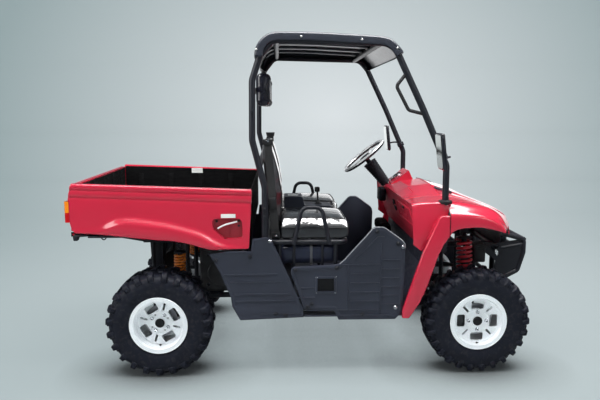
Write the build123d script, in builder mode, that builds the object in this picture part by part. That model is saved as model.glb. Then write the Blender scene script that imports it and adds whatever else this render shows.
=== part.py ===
"""Two-seat utility side-by-side vehicle with a tipping load bed, in millimetres.

+X points forward, +Y to the vehicle's left and +Z up.  The origin is on the
ground, under the middle of the vehicle's length and width.
"""
from build123d import *
from math import atan2, cos, hypot, radians, sin
import os

os.makedirs("parts", exist_ok=True)

# ---------------------------------------------------------------- driving dimensions
wheelbase = 1900.0
rear_overhang = 519.0
front_overhang = 419.0
body_half_width = 646.0
wheel_face_y = 690.0
tyre_diameter = 630.0
rear_tyre_width = 254.0
front_tyre_width = 203.0
rim_seat_diameter = 305.0
rim_lip_diameter = 338.0
cage_tube = 38.0
cage_half_width = 625.0
roof_height = 2005.0
steering_wheel_diameter = 365.0
steering_wheel_y = 330.0
bed_floor_top = 850.0
bed_rim_height = 1150.0
mirror_reach = 905.0

# Walls and clearances
panel_wall = 5.0
seat_gap = 0.3
pivot_gap = 0.4
moving_gap = 6.0

# Stations worked out from the driving dimensions
overall_length = rear_overhang + wheelbase + front_overhang
rear_axle = rear_overhang - overall_length / 2
front_axle = rear_axle + wheelbase
tail = -overall_length / 2
nose = overall_length / 2
axle_height = tyre_diameter / 2
tube_radius = cage_tube / 2


# ---------------------------------------------------------------- shared shapes
def tube(points, diameter, bend=60.0, mode=Mode.ADD):
    """Round bar along a bent line, for the open part."""
    with BuildLine() as route:
        if len(points) > 2:
            FilletPolyline(*points, radius=bend)
        else:
            Line(*points)
    with BuildSketch(Plane(route.line @ 0, z_dir=route.line % 0)) as section:
        Circle(diameter / 2)
    sweep(section.sketch, path=route.line, mode=mode)


def side_block(outline, y_from, y_to, corner=0.0, mode=Mode.ADD):
    """Side-view outline made solid from y_from to y_to, with rounded outline corners."""
    low, high = sorted((y_from, y_to))
    with BuildSketch(Plane.XZ.offset(-high)) as section:
        with BuildLine():
            Polyline(*outline, close=True)
        make_face()
        if corner:
            fillet(section.vertices(), radius=corner)
    extrude(section.sketch, amount=high - low, mode=mode)


def front_block(outline, x_from, x_to, corner=0.0, mode=Mode.ADD):
    """Outline of (y, z) points made solid from x_from to x_to."""
    with BuildSketch(Plane.YZ.offset(x_from)) as section:
        with BuildLine():
            Polyline(*outline, close=True)
        make_face()
        if corner:
            fillet(section.vertices(), radius=corner)
    extrude(section.sketch, amount=x_to - x_from, mode=mode)


def box_between(low, high, mode=Mode.ADD):
    """Plain block from its low corner to its high corner."""
    size = [b - a for a, b in zip(low, high)]
    middle = tuple((a + b) / 2 for a, b in zip(low, high))
    with Locations(middle):
        Box(*size, mode=mode)


def rod(start, end, radius, mode=Mode.ADD):
    """Straight round pin from start to end."""
    axis = Vector(*end) - Vector(*start)
    with BuildSketch(Plane(start, z_dir=axis)) as section:
        Circle(radius)
    extrude(section.sketch, amount=axis.length, mode=mode)


def inset(line, thickness):
    """The line moved sideways to its right by the thickness."""
    moved = []
    for i, (x, z) in enumerate(line):
        x0, z0 = line[max(i - 1, 0)]
        x1, z1 = line[min(i + 1, len(line) - 1)]
        turn = atan2(z1 - z0, x1 - x0)
        moved.append((x + thickness * sin(turn), z - thickness * cos(turn)))
    return moved


def skin(rows, thickness, mode=Mode.ADD):
    """Thin shell through side-view lines, each row being (y, [(x, z), ...])."""
    sections = []
    for y, line in rows:
        outline = line + inset(line, thickness)[::-1]
        with BuildSketch(Plane.XZ.offset(-y)) as section:
            with BuildLine():
                Polyline(*outline, close=True)
            make_face()
        sections.append(section.sketch)
    loft(sections, ruled=True, mode=mode)


def front_line(points):
    """Side-view points measured from the front axle."""
    return [(front_axle + x, z) for x, z in points]


def save(builder, name):
    """Label a finished sub-part and write its STEP file."""
    builder.part.label = name
    export_step(builder.part, f"parts/{name}.step")


def save_pair(right, name):
    """Write a right-hand sub-part and its mirror image on the left."""
    save(right, f"{name}_right")
    with BuildPart() as left:
        mirror(right.part, about=Plane.XZ)
    save(left, f"{name}_left")


# ---------------------------------------------------------------- wheels
rim_flange = 6.0
rim_wall = 5.0
disc_thickness = 10.0
rim_lip_setback = 9.0
hub_boss_radius = 42.0
spindle_radius = 20.0
bolt_circle_radius = 54.0
wheel_bolt_radius = 6.5
window_circle_radius = 98.0
tyre_wall = 12.0
hub_depth = {"rear": 62.0, "front": 62.0}
disc_recess = {"rear": 57.0, "front": 28.0}
tyre_width = {"rear": rear_tyre_width, "front": front_tyre_width}
wheel_axle = {"rear": rear_axle, "front": front_axle}
window_turn = {"rear": 30.0, "front": 0.0}


def turned(points, plane, axis):
    """Ring turned about the axle from a section of (distance out, radius) points."""
    with BuildSketch(plane) as section:
        with BuildLine():
            Polyline(*points, close=True)
        make_face()
    revolve(section.sketch, axis=axis)


for end in ("rear", "front"):
    axle_x = wheel_axle[end]
    half = tyre_width[end] / 2
    centre_y = wheel_face_y - half
    lip = half - rim_lip_setback
    seat_radius = rim_seat_diameter / 2
    lip_radius = rim_lip_diameter / 2
    tread_radius = tyre_diameter / 2
    wheel_plane = Plane(
        origin=(axle_x, -centre_y, axle_height), x_dir=(0, -1, 0), z_dir=(-1, 0, 0)
    )
    wheel_axis = Axis((axle_x, -centre_y, axle_height), (0, -1, 0))
    bead = lip - rim_flange - seat_gap
    bead_radius = seat_radius + seat_gap

    outer_half = [
        (bead, bead_radius),
        (bead, lip_radius + 5),
        (half - 3, lip_radius + 32),
        (half, tread_radius - 78),
        (half - 8, tread_radius - 24),
        (half - 34, tread_radius),
    ]
    inner_half = [
        (bead - tyre_wall - 2, bead_radius),
        (bead - tyre_wall - 2, lip_radius + 12),
        (half - tyre_wall - 3, lip_radius + 36),
        (half - tyre_wall, tread_radius - 80),
        (half - tyre_wall - 9, tread_radius - 34),
        (half - tyre_wall - 34, tread_radius - tyre_wall - 2),
    ]
    outer = outer_half + [(-w, r) for w, r in reversed(outer_half)]
    inner = inner_half + [(-w, r) for w, r in reversed(inner_half)]
    with BuildPart() as tyre:
        turned(outer + inner[::-1], wheel_plane, wheel_axis)
    save_pair(tyre, f"{end}_tyre")

    disc_out = lip - disc_recess[end]
    disc_in = disc_out - disc_thickness
    barrel = seat_radius - rim_wall
    rim_section = [
        (lip, lip_radius),
        (lip - rim_flange, lip_radius),
        (lip - rim_flange, seat_radius),
        (-lip + rim_flange, seat_radius),
        (-lip + rim_flange, lip_radius),
        (-lip, lip_radius),
        (-lip, seat_radius - rim_wall),
        (disc_in, barrel),
        (disc_in, hub_boss_radius),
        (disc_in - hub_depth[end], hub_boss_radius),
        (disc_in - hub_depth[end], spindle_radius + pivot_gap),
        (disc_out, spindle_radius + pivot_gap),
        (disc_out, barrel),
        (lip, seat_radius - rim_wall),
    ]
    face_plane = Plane(
        origin=(axle_x, -centre_y - disc_out, axle_height), x_dir=(1, 0, 0), z_dir=(0, -1, 0)
    )
    with BuildPart() as rim:
        turned(rim_section, wheel_plane, wheel_axis)
        with BuildSketch(face_plane) as openings:
            with PolarLocations(window_circle_radius, 4, start_angle=window_turn[end]):
                RectangleRounded(49, 77, 12)
            with PolarLocations(window_circle_radius + 2, 4, start_angle=window_turn[end] + 45):
                SlotOverall(46, 13)
            with PolarLocations(bolt_circle_radius, 4, start_angle=window_turn[end]):
                Circle(wheel_bolt_radius)
        extrude(amount=-disc_thickness, mode=Mode.SUBTRACT)
    save_pair(rim, f"{end}_rim")

# ---------------------------------------------------------------- frame and seat sizes
rail_y = 205.0
rail_z = 355.0
frame_tube = 36.0
upper_rail_y = 300.0
upper_rail_z = 752.0
rocker_y = 607.0
floor_wall = 4.0
floor_z = rail_z + frame_tube / 2 + seat_gap + floor_wall
floor_half = cage_half_width - tube_radius - 3.0
cabin_back = rear_axle + 590
cabin_front = front_axle - 400
seat_tube = 32.0
seat_rail_z = 790.0
seat_rail_y = 585.0
seat_back_x = rear_axle + 652
seat_front_x = rear_axle + 1108
bed_hinge_x = rear_axle - 350
bed_hinge_z = 790.0
hinge_tube = 32.0
dash_tube_z = 746.0
pivot_spread = 110.0
pivot_bar_radius = 12.0
pivot_bar_y = rail_y + 25.0
upper_pivot_z = 430.0
lower_pivot_z = 272.0

# ---------------------------------------------------------------- suspension and steering knuckles
arm_tube = 28.0
kingpin_y = 508.0
kingpin_radius = 9.0
eye_radius = 21.0
eye_height = 26.0
upper_eye_z = 392.0
lower_eye_z = 250.0
shock_pin_radius = 10.0
shock_eye_radius = 18.0
shock_eye_half = 19.0
front_shock_foot_y = 372.0
rear_shock_foot_y = 352.0
rear_carrier_y = 408.0
hub_inner_y = {
    end: wheel_face_y - rim_lip_setback - disc_recess[end] - disc_thickness - hub_depth[end]
    for end in ("rear", "front")
}
spindle_end_y = {end: hub_inner_y[end] + hub_depth[end] + disc_thickness - 3 for end in hub_inner_y}


def between(start, finish, y):
    """Point of a straight arm tube where it crosses the given distance from the middle."""
    share = (y - start[1]) / (finish[1] - start[1])
    return [a + share * (b - a) for a, b in zip(start, finish)]


def arm_start(spread, pivot_z, end_half, end_y, end_z):
    """Start of a leaning arm tube whose end clears the pivot bar by the seat gap."""
    run = end_y - pivot_bar_y - pivot_bar_radius
    side_run = hypot(spread - end_half, pivot_z - end_z)
    lean = arm_tube / 2 * side_run / hypot(run, side_run)
    return (spread, -(pivot_bar_y + pivot_bar_radius + seat_gap + lean), pivot_z)


def arm_pair(x, spread, pivot_z, end_half, end_y, end_z):
    """Two tubes that run out from the frame's pivot bar."""
    start = arm_start(spread, pivot_z, end_half, end_y, end_z)
    for side in (-1, 1):
        tube([(x + side * spread, start[1], pivot_z), (x + side * end_half, -end_y, end_z)], arm_tube)


def ball_eye(x, y, z):
    """Outer eye of a front arm, bored for the knuckle's pin."""
    rod((x, y, z - eye_height / 2), (x, y, z + eye_height / 2), eye_radius)
    bore = kingpin_radius + pivot_gap
    rod((x, y, z - eye_height), (x, y, z + eye_height), bore, mode=Mode.SUBTRACT)


front_arm_end_y = kingpin_y - eye_radius + 4
front_upper_end = (11.0, -front_arm_end_y, upper_eye_z)
front_upper_start = arm_start(90, upper_pivot_z, 11, front_arm_end_y, upper_eye_z)
front_pin_place = between(front_upper_start, front_upper_end, -front_shock_foot_y)
with BuildPart() as front_arms:
    arm_pair(front_axle, 90, upper_pivot_z, 11, front_arm_end_y, upper_eye_z)
    arm_pair(front_axle, 95, lower_pivot_z, 10, front_arm_end_y, lower_eye_z)
    ball_eye(front_axle, -kingpin_y, upper_eye_z)
    ball_eye(front_axle, -kingpin_y, lower_eye_z)
    rod(
        (front_axle - front_pin_place[0], -front_shock_foot_y, front_pin_place[2]),
        (front_axle + front_pin_place[0], -front_shock_foot_y, front_pin_place[2]),
        shock_pin_radius,
    )
    mirror(about=Plane.XZ)
save(front_arms, "front_suspension_arms")

knuckle_gap = 2.5
knuckle_low = lower_eye_z + eye_height / 2 + knuckle_gap
knuckle_high = upper_eye_z - eye_height / 2 - knuckle_gap
with BuildPart() as knuckle:
    side_block(
        [
            (front_axle - 26, knuckle_low),
            (front_axle + 26, knuckle_low),
            (front_axle + 38, axle_height),
            (front_axle + 26, knuckle_high),
            (front_axle - 26, knuckle_high),
            (front_axle - 38, axle_height),
        ],
        -kingpin_y - 16,
        -kingpin_y + 14,
        corner=6,
    )
    for z_low, z_high in ((knuckle_low - 20, knuckle_low + 3), (knuckle_high - 3, knuckle_high + 20)):
        rod((front_axle, -kingpin_y, z_low), (front_axle, -kingpin_y, z_high), kingpin_radius)
    rod(
        (front_axle, -kingpin_y, axle_height),
        (front_axle, -spindle_end_y["front"], axle_height),
        spindle_radius,
    )
    box_between((front_axle - 110, -kingpin_y - 8, 318), (front_axle - 20, -kingpin_y + 8, 334))
save_pair(knuckle, "front_knuckle")

rear_upper_end = (12.0, -rear_carrier_y, upper_eye_z)
rear_upper_start = arm_start(90, upper_pivot_z, 12, rear_carrier_y, upper_eye_z)
rear_pin_place = between(rear_upper_start, rear_upper_end, -rear_shock_foot_y)
rear_shock_foot_x = rear_axle + rear_pin_place[0] + arm_tube / 2 + shock_eye_half + 6
with BuildPart() as rear_arms:
    arm_pair(rear_axle, 90, upper_pivot_z, 12, rear_carrier_y, upper_eye_z)
    arm_pair(rear_axle, 95, lower_pivot_z, 12, rear_carrier_y, lower_eye_z)
    rod(
        (rear_axle - rear_pin_place[0], -rear_shock_foot_y, rear_pin_place[2]),
        (rear_shock_foot_x + shock_eye_half + 4, -rear_shock_foot_y, rear_pin_place[2]),
        shock_pin_radius,
    )
    side_block(
        [
            (rear_axle - 34, lower_eye_z - 16),
            (rear_axle + 34, lower_eye_z - 16),
            (rear_axle + 42, axle_height),
            (rear_axle + 34, upper_eye_z + 20),
            (rear_axle - 34, upper_eye_z + 20),
            (rear_axle - 42, axle_height),
        ],
        -rear_carrier_y - 24,
        -rear_carrier_y + 8,
        corner=6,
    )
    rod(
        (rear_axle, -rear_carrier_y, axle_height),
        (rear_axle, -spindle_end_y["rear"], axle_height),
        spindle_radius,
    )
    mirror(about=Plane.XZ)
save(rear_arms, "rear_suspension_arms")


def coil_unit(top, bottom, coil_radius, body_radius):
    """Damper body with a coil spring outline between two seats and an eye at each end."""
    top_point = Vector(*top)
    run = Vector(*bottom) - top_point
    along = run.normalized()
    rod(top, bottom, body_radius)
    coil_start = top_point + along * 38
    coil_end = top_point + along * (run.length - 62)
    rod(tuple(coil_start), tuple(coil_end), coil_radius)
    for point in (top_point, Vector(*bottom)):
        start = (point.X - shock_eye_half, point.Y, point.Z)
        rod(start, (point.X + shock_eye_half, point.Y, point.Z), shock_eye_radius)


foot_rise = shock_pin_radius + shock_eye_radius + seat_gap
front_shock_top = (front_axle + 4, -318, 800)
front_shock_foot = (front_axle, -front_shock_foot_y, front_pin_place[2] + foot_rise)
rear_shock_top = (rear_axle + 86, -352, 728)
rear_shock_foot = (rear_shock_foot_x, -rear_shock_foot_y, rear_pin_place[2] + foot_rise)
with BuildPart() as front_shocks:
    coil_unit(front_shock_top, front_shock_foot, 52, 14)
    mirror(about=Plane.XZ)
save(front_shocks, "front_coil_shocks")
with BuildPart() as rear_shocks:
    coil_unit(rear_shock_top, rear_shock_foot, 38, 12)
    mirror(about=Plane.XZ)
save(rear_shocks, "rear_coil_shocks")

# ---------------------------------------------------------------- drive line and engine
half_shaft_radius = 13.0
gearbox_half = 118.0
gearbox_radius = 78.0
brace_tube = 30.0
upright_tube = 27.0
brace_z = rail_z - 8.0
with BuildPart() as drive_line:
    rod(
        (rear_axle, -gearbox_half - seat_gap, axle_height),
        (rear_axle, -rear_carrier_y + 8 + seat_gap, axle_height),
        half_shaft_radius,
    )
    rod(
        (front_axle, -gearbox_half - seat_gap, axle_height),
        (front_axle, -kingpin_y + 36, axle_height),
        half_shaft_radius,
    )
    mirror(about=Plane.XZ)
    lug = pivot_spread - brace_tube / 2 - seat_gap
    for x in (rear_axle, front_axle):
        rod((x, -gearbox_half, axle_height), (x, gearbox_half, axle_height), gearbox_radius)
        box_between((x - lug, -30, brace_z - 12), (x + lug, 30, brace_z + 12))
save(drive_line, "drive_line")

engine_front_x = rear_axle + 470
with BuildPart() as engine:
    box_between(
        (rear_axle + 185, -180, rail_z + brace_tube / 2 + seat_gap), (engine_front_x, 180, 715)
    )
    fillet(engine.edges(), radius=12)
save(engine, "engine_block")

muffler_x = rear_axle
muffler_z = 575.0
with BuildPart() as muffler:
    rod((muffler_x, -165, muffler_z), (muffler_x, 165, muffler_z), 66)
    fillet(muffler.edges(), radius=14)
    rod((muffler_x, 110, muffler_z + 4), (muffler_x - 180, 110, muffler_z + 4), 17)
    for y in (-100, 100):
        hanger_top = upper_rail_z - brace_tube / 2 - seat_gap
        rod((muffler_x, y, muffler_z), (muffler_x, y, hanger_top), 8)
save(muffler, "muffler")

# ---------------------------------------------------------------- frame
pillar_face_x = front_axle - 191
pillar_x = pillar_face_x - tube_radius
cage_side_line = [
    (rear_axle + 626, -cage_half_width, rail_z + frame_tube / 2 + seat_gap),
    (rear_axle + 630, -cage_half_width, 1125),
    (rear_axle + 560, -cage_half_width, 1395),
    (rear_axle + 544 + tube_radius, -cage_half_width, roof_height - 270),
    (rear_axle + 587 + tube_radius, -cage_half_width, roof_height - 121 - tube_radius),
    (rear_axle + 661 + tube_radius, -cage_half_width, roof_height - 27 - tube_radius),
    (front_axle - 520 - tube_radius, -cage_half_width, roof_height - 43 - tube_radius),
    (front_axle - 359, -cage_half_width, 1576),
    (pillar_x - 2, -cage_half_width, 1249),
    (pillar_x, -cage_half_width, dash_tube_z + frame_tube / 2 + seat_gap),
]
cage_bends = [120, 120, 90, 90, 70, 110, 200, 60]
frame_break_rear = rear_axle + 200
frame_break_front = front_axle - 240
break_gap = brace_tube / 2 + seat_gap


def across(x, z, half, diameter, mode=Mode.ADD):
    """Straight cross tube."""
    rod((x, -half - 6, z), (x, half + 6, z), diameter / 2, mode=mode)


with BuildPart() as centre_frame:
    for x in (cabin_back - 40, rear_axle + 1010, cabin_front - 20):
        across(x, rail_z, rocker_y, brace_tube)
    for y in (-rocker_y, rocker_y):
        rod((cabin_back - 58, y, rail_z), (cabin_front - 2, y, rail_z), frame_tube / 2)
    for y in (-rail_y, rail_y):
        rod((frame_break_rear - 6, y, rail_z), (frame_break_front + 6, y, rail_z), frame_tube / 2)
    across(frame_break_rear, rail_z, rail_y + 18, brace_tube)
    across(frame_break_front, rail_z, rail_y + 18, brace_tube)
save(centre_frame, "centre_frame")


def axle_bay(axle, top_z):
    """Uprights, braces and the pivot bars that carry the arms at one axle."""
    for x in (axle - pivot_spread, axle + pivot_spread):
        across(x, brace_z, rail_y, brace_tube)
        for y in (-rail_y, rail_y):
            rod((x, y, lower_pivot_z - 8), (x, y, top_z + 5), upright_tube / 2)
    for y in (-pivot_bar_y, pivot_bar_y):
        for z in (lower_pivot_z, upper_pivot_z):
            start = (axle - pivot_spread - 10, y, z)
            rod(start, (axle + pivot_spread + 10, y, z), pivot_bar_radius)


def shock_bracket(top, y_end, z_low, z_high):
    """Two plates that hold a damper's upper eye, on both sides of the vehicle."""
    inner = shock_eye_half + seat_gap
    for mirror_side in (1, -1):
        y_pair = sorted((mirror_side * (top[1] - 10), mirror_side * y_end))
        for side in (-1, 1):
            x_pair = sorted((top[0] + side * inner, top[0] + side * (inner + 6)))
            box_between((x_pair[0], y_pair[0], z_low), (x_pair[1], y_pair[1], z_high))


hitch_hole_radius = 9.5
hitch_plate = 10.0
hitch_z = 400.0
rail_end_x = rear_axle - 150
rear_brace_x = cabin_back - 90
with BuildPart() as rear_frame:
    axle_bay(rear_axle, upper_rail_z)
    for y in (-rail_y, rail_y):
        rod(
            (frame_break_rear - break_gap, y, rail_z), (rear_axle - 225, y, rail_z), frame_tube / 2
        )
    for y in (-upper_rail_y, upper_rail_y):
        rod((rail_end_x, y, upper_rail_z), (cabin_back - 76, y, upper_rail_z), frame_tube / 2)
        rod((rear_brace_x, y, upper_rail_z + 5), (rear_brace_x, y, rail_z + 30), upright_tube / 2)
        rod((rail_end_x + 20, y, upper_rail_z), (bed_hinge_x - 6, y, bed_hinge_z + 1), brace_tube / 2)
    for x in (muffler_x, rear_brace_x):
        across(x, upper_rail_z, upper_rail_y, brace_tube)
    for x in (rear_axle - pivot_spread, rear_axle + pivot_spread):
        across(x, upper_rail_z, upper_rail_y, brace_tube)
    across(rear_axle - 190, rail_z, rail_y, brace_tube)
    across(rear_brace_x, rail_z + 45, upper_rail_y, brace_tube)
    across(bed_hinge_x, bed_hinge_z, upper_rail_y + 30, hinge_tube)
    shock_bracket(rear_shock_top, -upper_rail_y, upper_rail_z - 44, upper_rail_z)
    box_between(
        (rear_axle - 268, -45, hitch_z), (rear_axle - 180, 45, hitch_z + hitch_plate)
    )
    for y in (-40, 40):
        box_between((rear_axle - 250, y - 5, rail_z - 8), (rear_axle - 180, y + 5, hitch_z + 3))
    rod(
        (rear_axle - 246, 0, hitch_z - 20),
        (rear_axle - 246, 0, hitch_z + 30),
        hitch_hole_radius,
        mode=Mode.SUBTRACT,
    )
save(rear_frame, "rear_frame")

front_top_z = 690.0
tower_z = front_shock_top[2] + shock_eye_radius + 15 + seat_gap
front_end_x = front_axle + 235
with BuildPart() as front_frame:
    axle_bay(front_axle, front_top_z)
    for y in (-rail_y, rail_y):
        tube(
            [
                (frame_break_front + break_gap, y, rail_z),
                (front_axle + 150, y, rail_z),
                (front_end_x, y, rail_z + 90),
                (front_end_x, y, front_top_z),
            ],
            frame_tube,
            bend=40,
        )
        rod((front_axle - 250, y, front_top_z), (front_end_x, y, front_top_z), frame_tube / 2)
        rod((front_axle - 205, y, dash_tube_z), (front_axle - 205, y, rail_z), upright_tube / 2)
        rod((front_axle + 4, y, tower_z), (front_axle + 4, y, front_top_z), upright_tube / 2)
    across(front_end_x, front_top_z - 10, 318, brace_tube)
    across(front_end_x, 470, 318, brace_tube)
    tube(
        [
            (front_axle + 4, -590, 978),
            (front_axle + 4, -380, tower_z),
            (front_axle + 4, 380, tower_z),
            (front_axle + 4, 590, 978),
        ],
        brace_tube,
        bend=70,
    )
    shock_bracket(front_shock_top, front_shock_top[1] + 22, front_shock_top[2] - 20, tower_z)
    for y in (-front_shock_top[1], front_shock_top[1]):
        saddle_low = front_shock_top[2] + shock_eye_radius + seat_gap
        reach = shock_eye_half + seat_gap + 3
        x = front_shock_top[0]
        box_between((x - reach, y - 9, saddle_low), (x + reach, y + 9, saddle_low + 8))
    across(front_axle - 210, dash_tube_z, cage_half_width, frame_tube)
save(front_frame, "front_frame")

toe_x = cabin_front - 40
dash_top = (front_axle - 412, 1022)
dash_bottom = (front_axle - 355, 822)
dash_foot = (front_axle - 320, 738)
with BuildPart() as floor_pan:
    floor_line = [
        (cabin_back - 10, floor_z + 40),
        (cabin_back + 10, floor_z),
        (toe_x, floor_z),
        (dash_foot[0] - 5, 640),
        (dash_foot[0] - 1, dash_foot[1] - seat_gap),
    ]
    side_block(floor_line + inset(floor_line, floor_wall)[::-1], -floor_half, floor_half)
    rod(
        (rear_axle + 626, -cage_half_width, floor_z - 30),
        (rear_axle + 626, -cage_half_width, floor_z + 60),
        tube_radius + 1,
        mode=Mode.SUBTRACT,
    )
save(floor_pan, "floor_pan")

# ---------------------------------------------------------------- side guards and lower panels
guard_face_y = 655.0
guard_depth = guard_face_y - rocker_y - frame_tube / 2 - seat_gap
guard_outline = front_line(
    [
        (-1122, 622),
        (-1098, 654),
        (-862, 662),
        (-806, 694),
        (-682, 832),
        (-628, 890),
        (-576, 890),
        (-456, 803),
        (-446, 765),
        (-449, 571),
        (-458, 381),
        (-498, 331),
        (-836, 331),
        (-868, 393),
        (-1040, 399),
    ]
)


def moulded_panel(outline, depth, lip, mode=Mode.ADD):
    """Open-backed panel: a face sheet with a rim standing inwards."""
    side_block(outline, -guard_face_y, -guard_face_y + depth, mode=mode)
    with BuildSketch(Plane.XZ.offset(guard_face_y - depth)) as hollow:
        with BuildLine():
            Polyline(*outline, close=True)
        make_face()
        offset(amount=-lip)
    extrude(hollow.sketch, amount=depth - lip, mode=Mode.SUBTRACT)


with BuildPart() as side_guard:
    moulded_panel(guard_outline, guard_depth, panel_wall)
save_pair(side_guard, "side_guard")

lower_panel_outline = [
    (rear_axle + 304, 738),
    (rear_axle + 420, 752),
    (rear_axle + 548, 752),
    (rear_axle + 556, 826),
    (rear_axle + 644, 834),
    (rear_axle + 666, 821),
    (rear_axle + 769, 595),
    (front_axle - 1050, 402),
    (front_axle - 1045, 349),
    (rear_axle + 479, 334),
    (rear_axle + 432, 420),
    (rear_axle + 425, 476),
    (rear_axle + 364, 625),
]
with BuildPart() as lower_panel:
    post_outer_y = cage_half_width + tube_radius
    moulded_panel(lower_panel_outline, guard_face_y - post_outer_y - seat_gap, panel_wall)
    mirror(about=Plane.XZ)
save(lower_panel, "rear_side_panels")

# ---------------------------------------------------------------- seats and what carries them
cushion_base = seat_rail_z + seat_tube / 2 + seat_gap
cushion_top = 925.0
tank_low_z = 648.0
tank_high_z = 764.0
with BuildPart() as seat_frame:
    loop = [
        (seat_back_x, -seat_rail_y, seat_rail_z),
        (seat_front_x, -seat_rail_y, seat_rail_z),
        (seat_front_x, seat_rail_y, seat_rail_z),
        (seat_back_x, seat_rail_y, seat_rail_z),
    ]
    with BuildLine() as loop_line:
        FilletPolyline(*loop, radius=50, close=True)
    with BuildSketch(Plane(loop_line.line @ 0, z_dir=loop_line.line % 0)) as loop_section:
        Circle(seat_tube / 2)
    sweep(loop_section.sketch, path=loop_line.line)
    seat_bearer = 25.0
    bearer_z = cushion_base - seat_gap - seat_bearer / 2
    for x in (seat_back_x + 120, seat_front_x - 48):
        across(x, bearer_z, seat_rail_y, seat_bearer)
    for x in (seat_back_x + 60, seat_front_x - 60):
        for y in (-seat_rail_y, seat_rail_y):
            rod((x, y, seat_rail_z), (x, y, floor_z + seat_gap), seat_bearer / 2)
    for x in (rear_axle + 800, rear_axle + 970):
        tube(
            [
                (x, -seat_rail_y, seat_rail_z - 6),
                (x, -seat_rail_y, tank_low_z - seat_gap - 8),
                (x, -230, tank_low_z - seat_gap - 8),
                (x, -230, floor_z + seat_gap),
            ],
            16,
            bend=14,
        )
save(seat_frame, "seat_frame")

with BuildPart() as hip_bars:
    bar_y = -seat_rail_y - seat_tube / 2 - 12 - seat_gap
    tube(
        [
            (rear_axle + 797, bar_y, seat_rail_z - 8),
            (rear_axle + 846, bar_y, 1003),
            (rear_axle + 962, bar_y, 1003),
            (rear_axle + 1011, bar_y, seat_rail_z - 8),
        ],
        24,
        bend=48,
    )
    mirror(about=Plane.XZ)
save(hip_bars, "hip_bars")

seat_inner_y = 118.0
seat_outer_y = 582.0
with BuildPart() as cushion:
    side_block(
        [
            (rear_axle + 722, cushion_base),
            (rear_axle + 1100, cushion_base),
            (rear_axle + 1124, cushion_base + 50),
            (rear_axle + 1116, cushion_top),
            (rear_axle + 1040, cushion_top + 4),
            (rear_axle + 722, cushion_top - 12),
        ],
        -seat_outer_y,
        -seat_inner_y,
        corner=14,
    )
save_pair(cushion, "seat_cushion")

seat_back_half = 560.0
back_line = [
    (rear_axle + 662, cushion_base + 2),
    (rear_axle + 634, 1120),
    (rear_axle + 618, 1250),
    (rear_axle + 612, 1370),
    (rear_axle + 650, 1388),
    (rear_axle + 684, 1300),
    (rear_axle + 712, 1200),
    (rear_axle + 738, 1060),
    (rear_axle + 736, 985),
    (rear_axle + 712, cushion_top + 4),
    (rear_axle + 712, cushion_base + 2),
]
with BuildPart() as seat_back:
    side_block(back_line, -seat_back_half, -140, corner=9)
save_pair(seat_back, "seat_back")

headrest_bar_z = 1690.0
headrest_bar_x = rear_axle + 563
headrest_bar_tube = 32.0
seat_bar_z = 1250.0
seat_bar_x = rear_axle + 618 - tube_radius - seat_gap
with BuildPart() as headrests:
    pad_back = headrest_bar_x + headrest_bar_tube / 2 + seat_gap
    side_block(
        [
            (pad_back, 1600),
            (pad_back + 50, 1588),
            (pad_back + 80, 1604),
            (pad_back + 84, 1770),
            (pad_back + 52, 1790),
            (pad_back, 1780),
        ],
        -470,
        -230,
        corner=12,
    )
    mirror(about=Plane.XZ)
save(headrests, "headrests")

console_half = 88.0
cup_radius = 41.0
with BuildPart() as console:
    side_block(
        [
            (rear_axle + 747, cushion_base),
            (rear_axle + 1086, cushion_base),
            (rear_axle + 1066, 928),
            (rear_axle + 884, 934),
            (rear_axle + 868, 992),
            (rear_axle + 747, 992),
        ],
        -console_half,
        console_half,
        corner=10,
    )
    with BuildSketch(Plane.XY.offset(992)) as cup:
        with Locations((rear_axle + 808, 0)):
            Circle(cup_radius)
    extrude(cup.sketch, amount=-75, mode=Mode.SUBTRACT)
save(console, "centre_console")

with BuildPart() as shifter:
    lever_foot = (rear_axle + 980, 0, 931.5)
    rod(lever_foot, (rear_axle + 974, 0, 1020), 6)
    with Locations((rear_axle + 973, 0, 1030)):
        Sphere(19)
    rod(lever_foot, (lever_foot[0], 0, lever_foot[2] + 12), 18)
save(shifter, "shift_lever")

with BuildPart() as fuel_tank:
    box_between((rear_axle + 705, -566, tank_low_z), (rear_axle + 1062, -260, tank_high_z))
    fillet(fuel_tank.edges(), radius=22)
save(fuel_tank, "fuel_tank")

with BuildPart() as belts:
    side_block(
        [
            (rear_axle + 625, 1386),
            (rear_axle + 671, 1386),
            (rear_axle + 714, 812),
            (rear_axle + 668, 812),
        ],
        -seat_back_half - 3 - seat_gap,
        -seat_back_half - seat_gap,
    )
    mirror(about=Plane.XZ)
save(belts, "seat_belts")

# ---------------------------------------------------------------- cage, roof and mirrors
with BuildPart() as cage_side:
    tube(cage_side_line, cage_tube, bend=cage_bends)
save_pair(cage_side, "cage_side")

bar_clearance = 0.2
cross_bars = [
    (headrest_bar_x, headrest_bar_z, headrest_bar_tube),
    (seat_bar_x, seat_bar_z, cage_tube),
    (rear_axle + 624, 1010, 32),
    (rear_axle + 700, roof_height - 41.8, 32),
    (front_axle - 610, roof_height - 64.0, 32),
]
with BuildPart() as cage_bars:
    for x, z, diameter in cross_bars:
        rod((x, -cage_half_width, z), (x, cage_half_width, z), diameter / 2)
    for side in (-1, 1):
        path = [(x, side * cage_half_width, z) for x, y, z in cage_side_line]
        tube(path, cage_tube + 2 * bar_clearance, bend=cage_bends, mode=Mode.SUBTRACT)
save(cage_bars, "cage_cross_bars")

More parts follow.
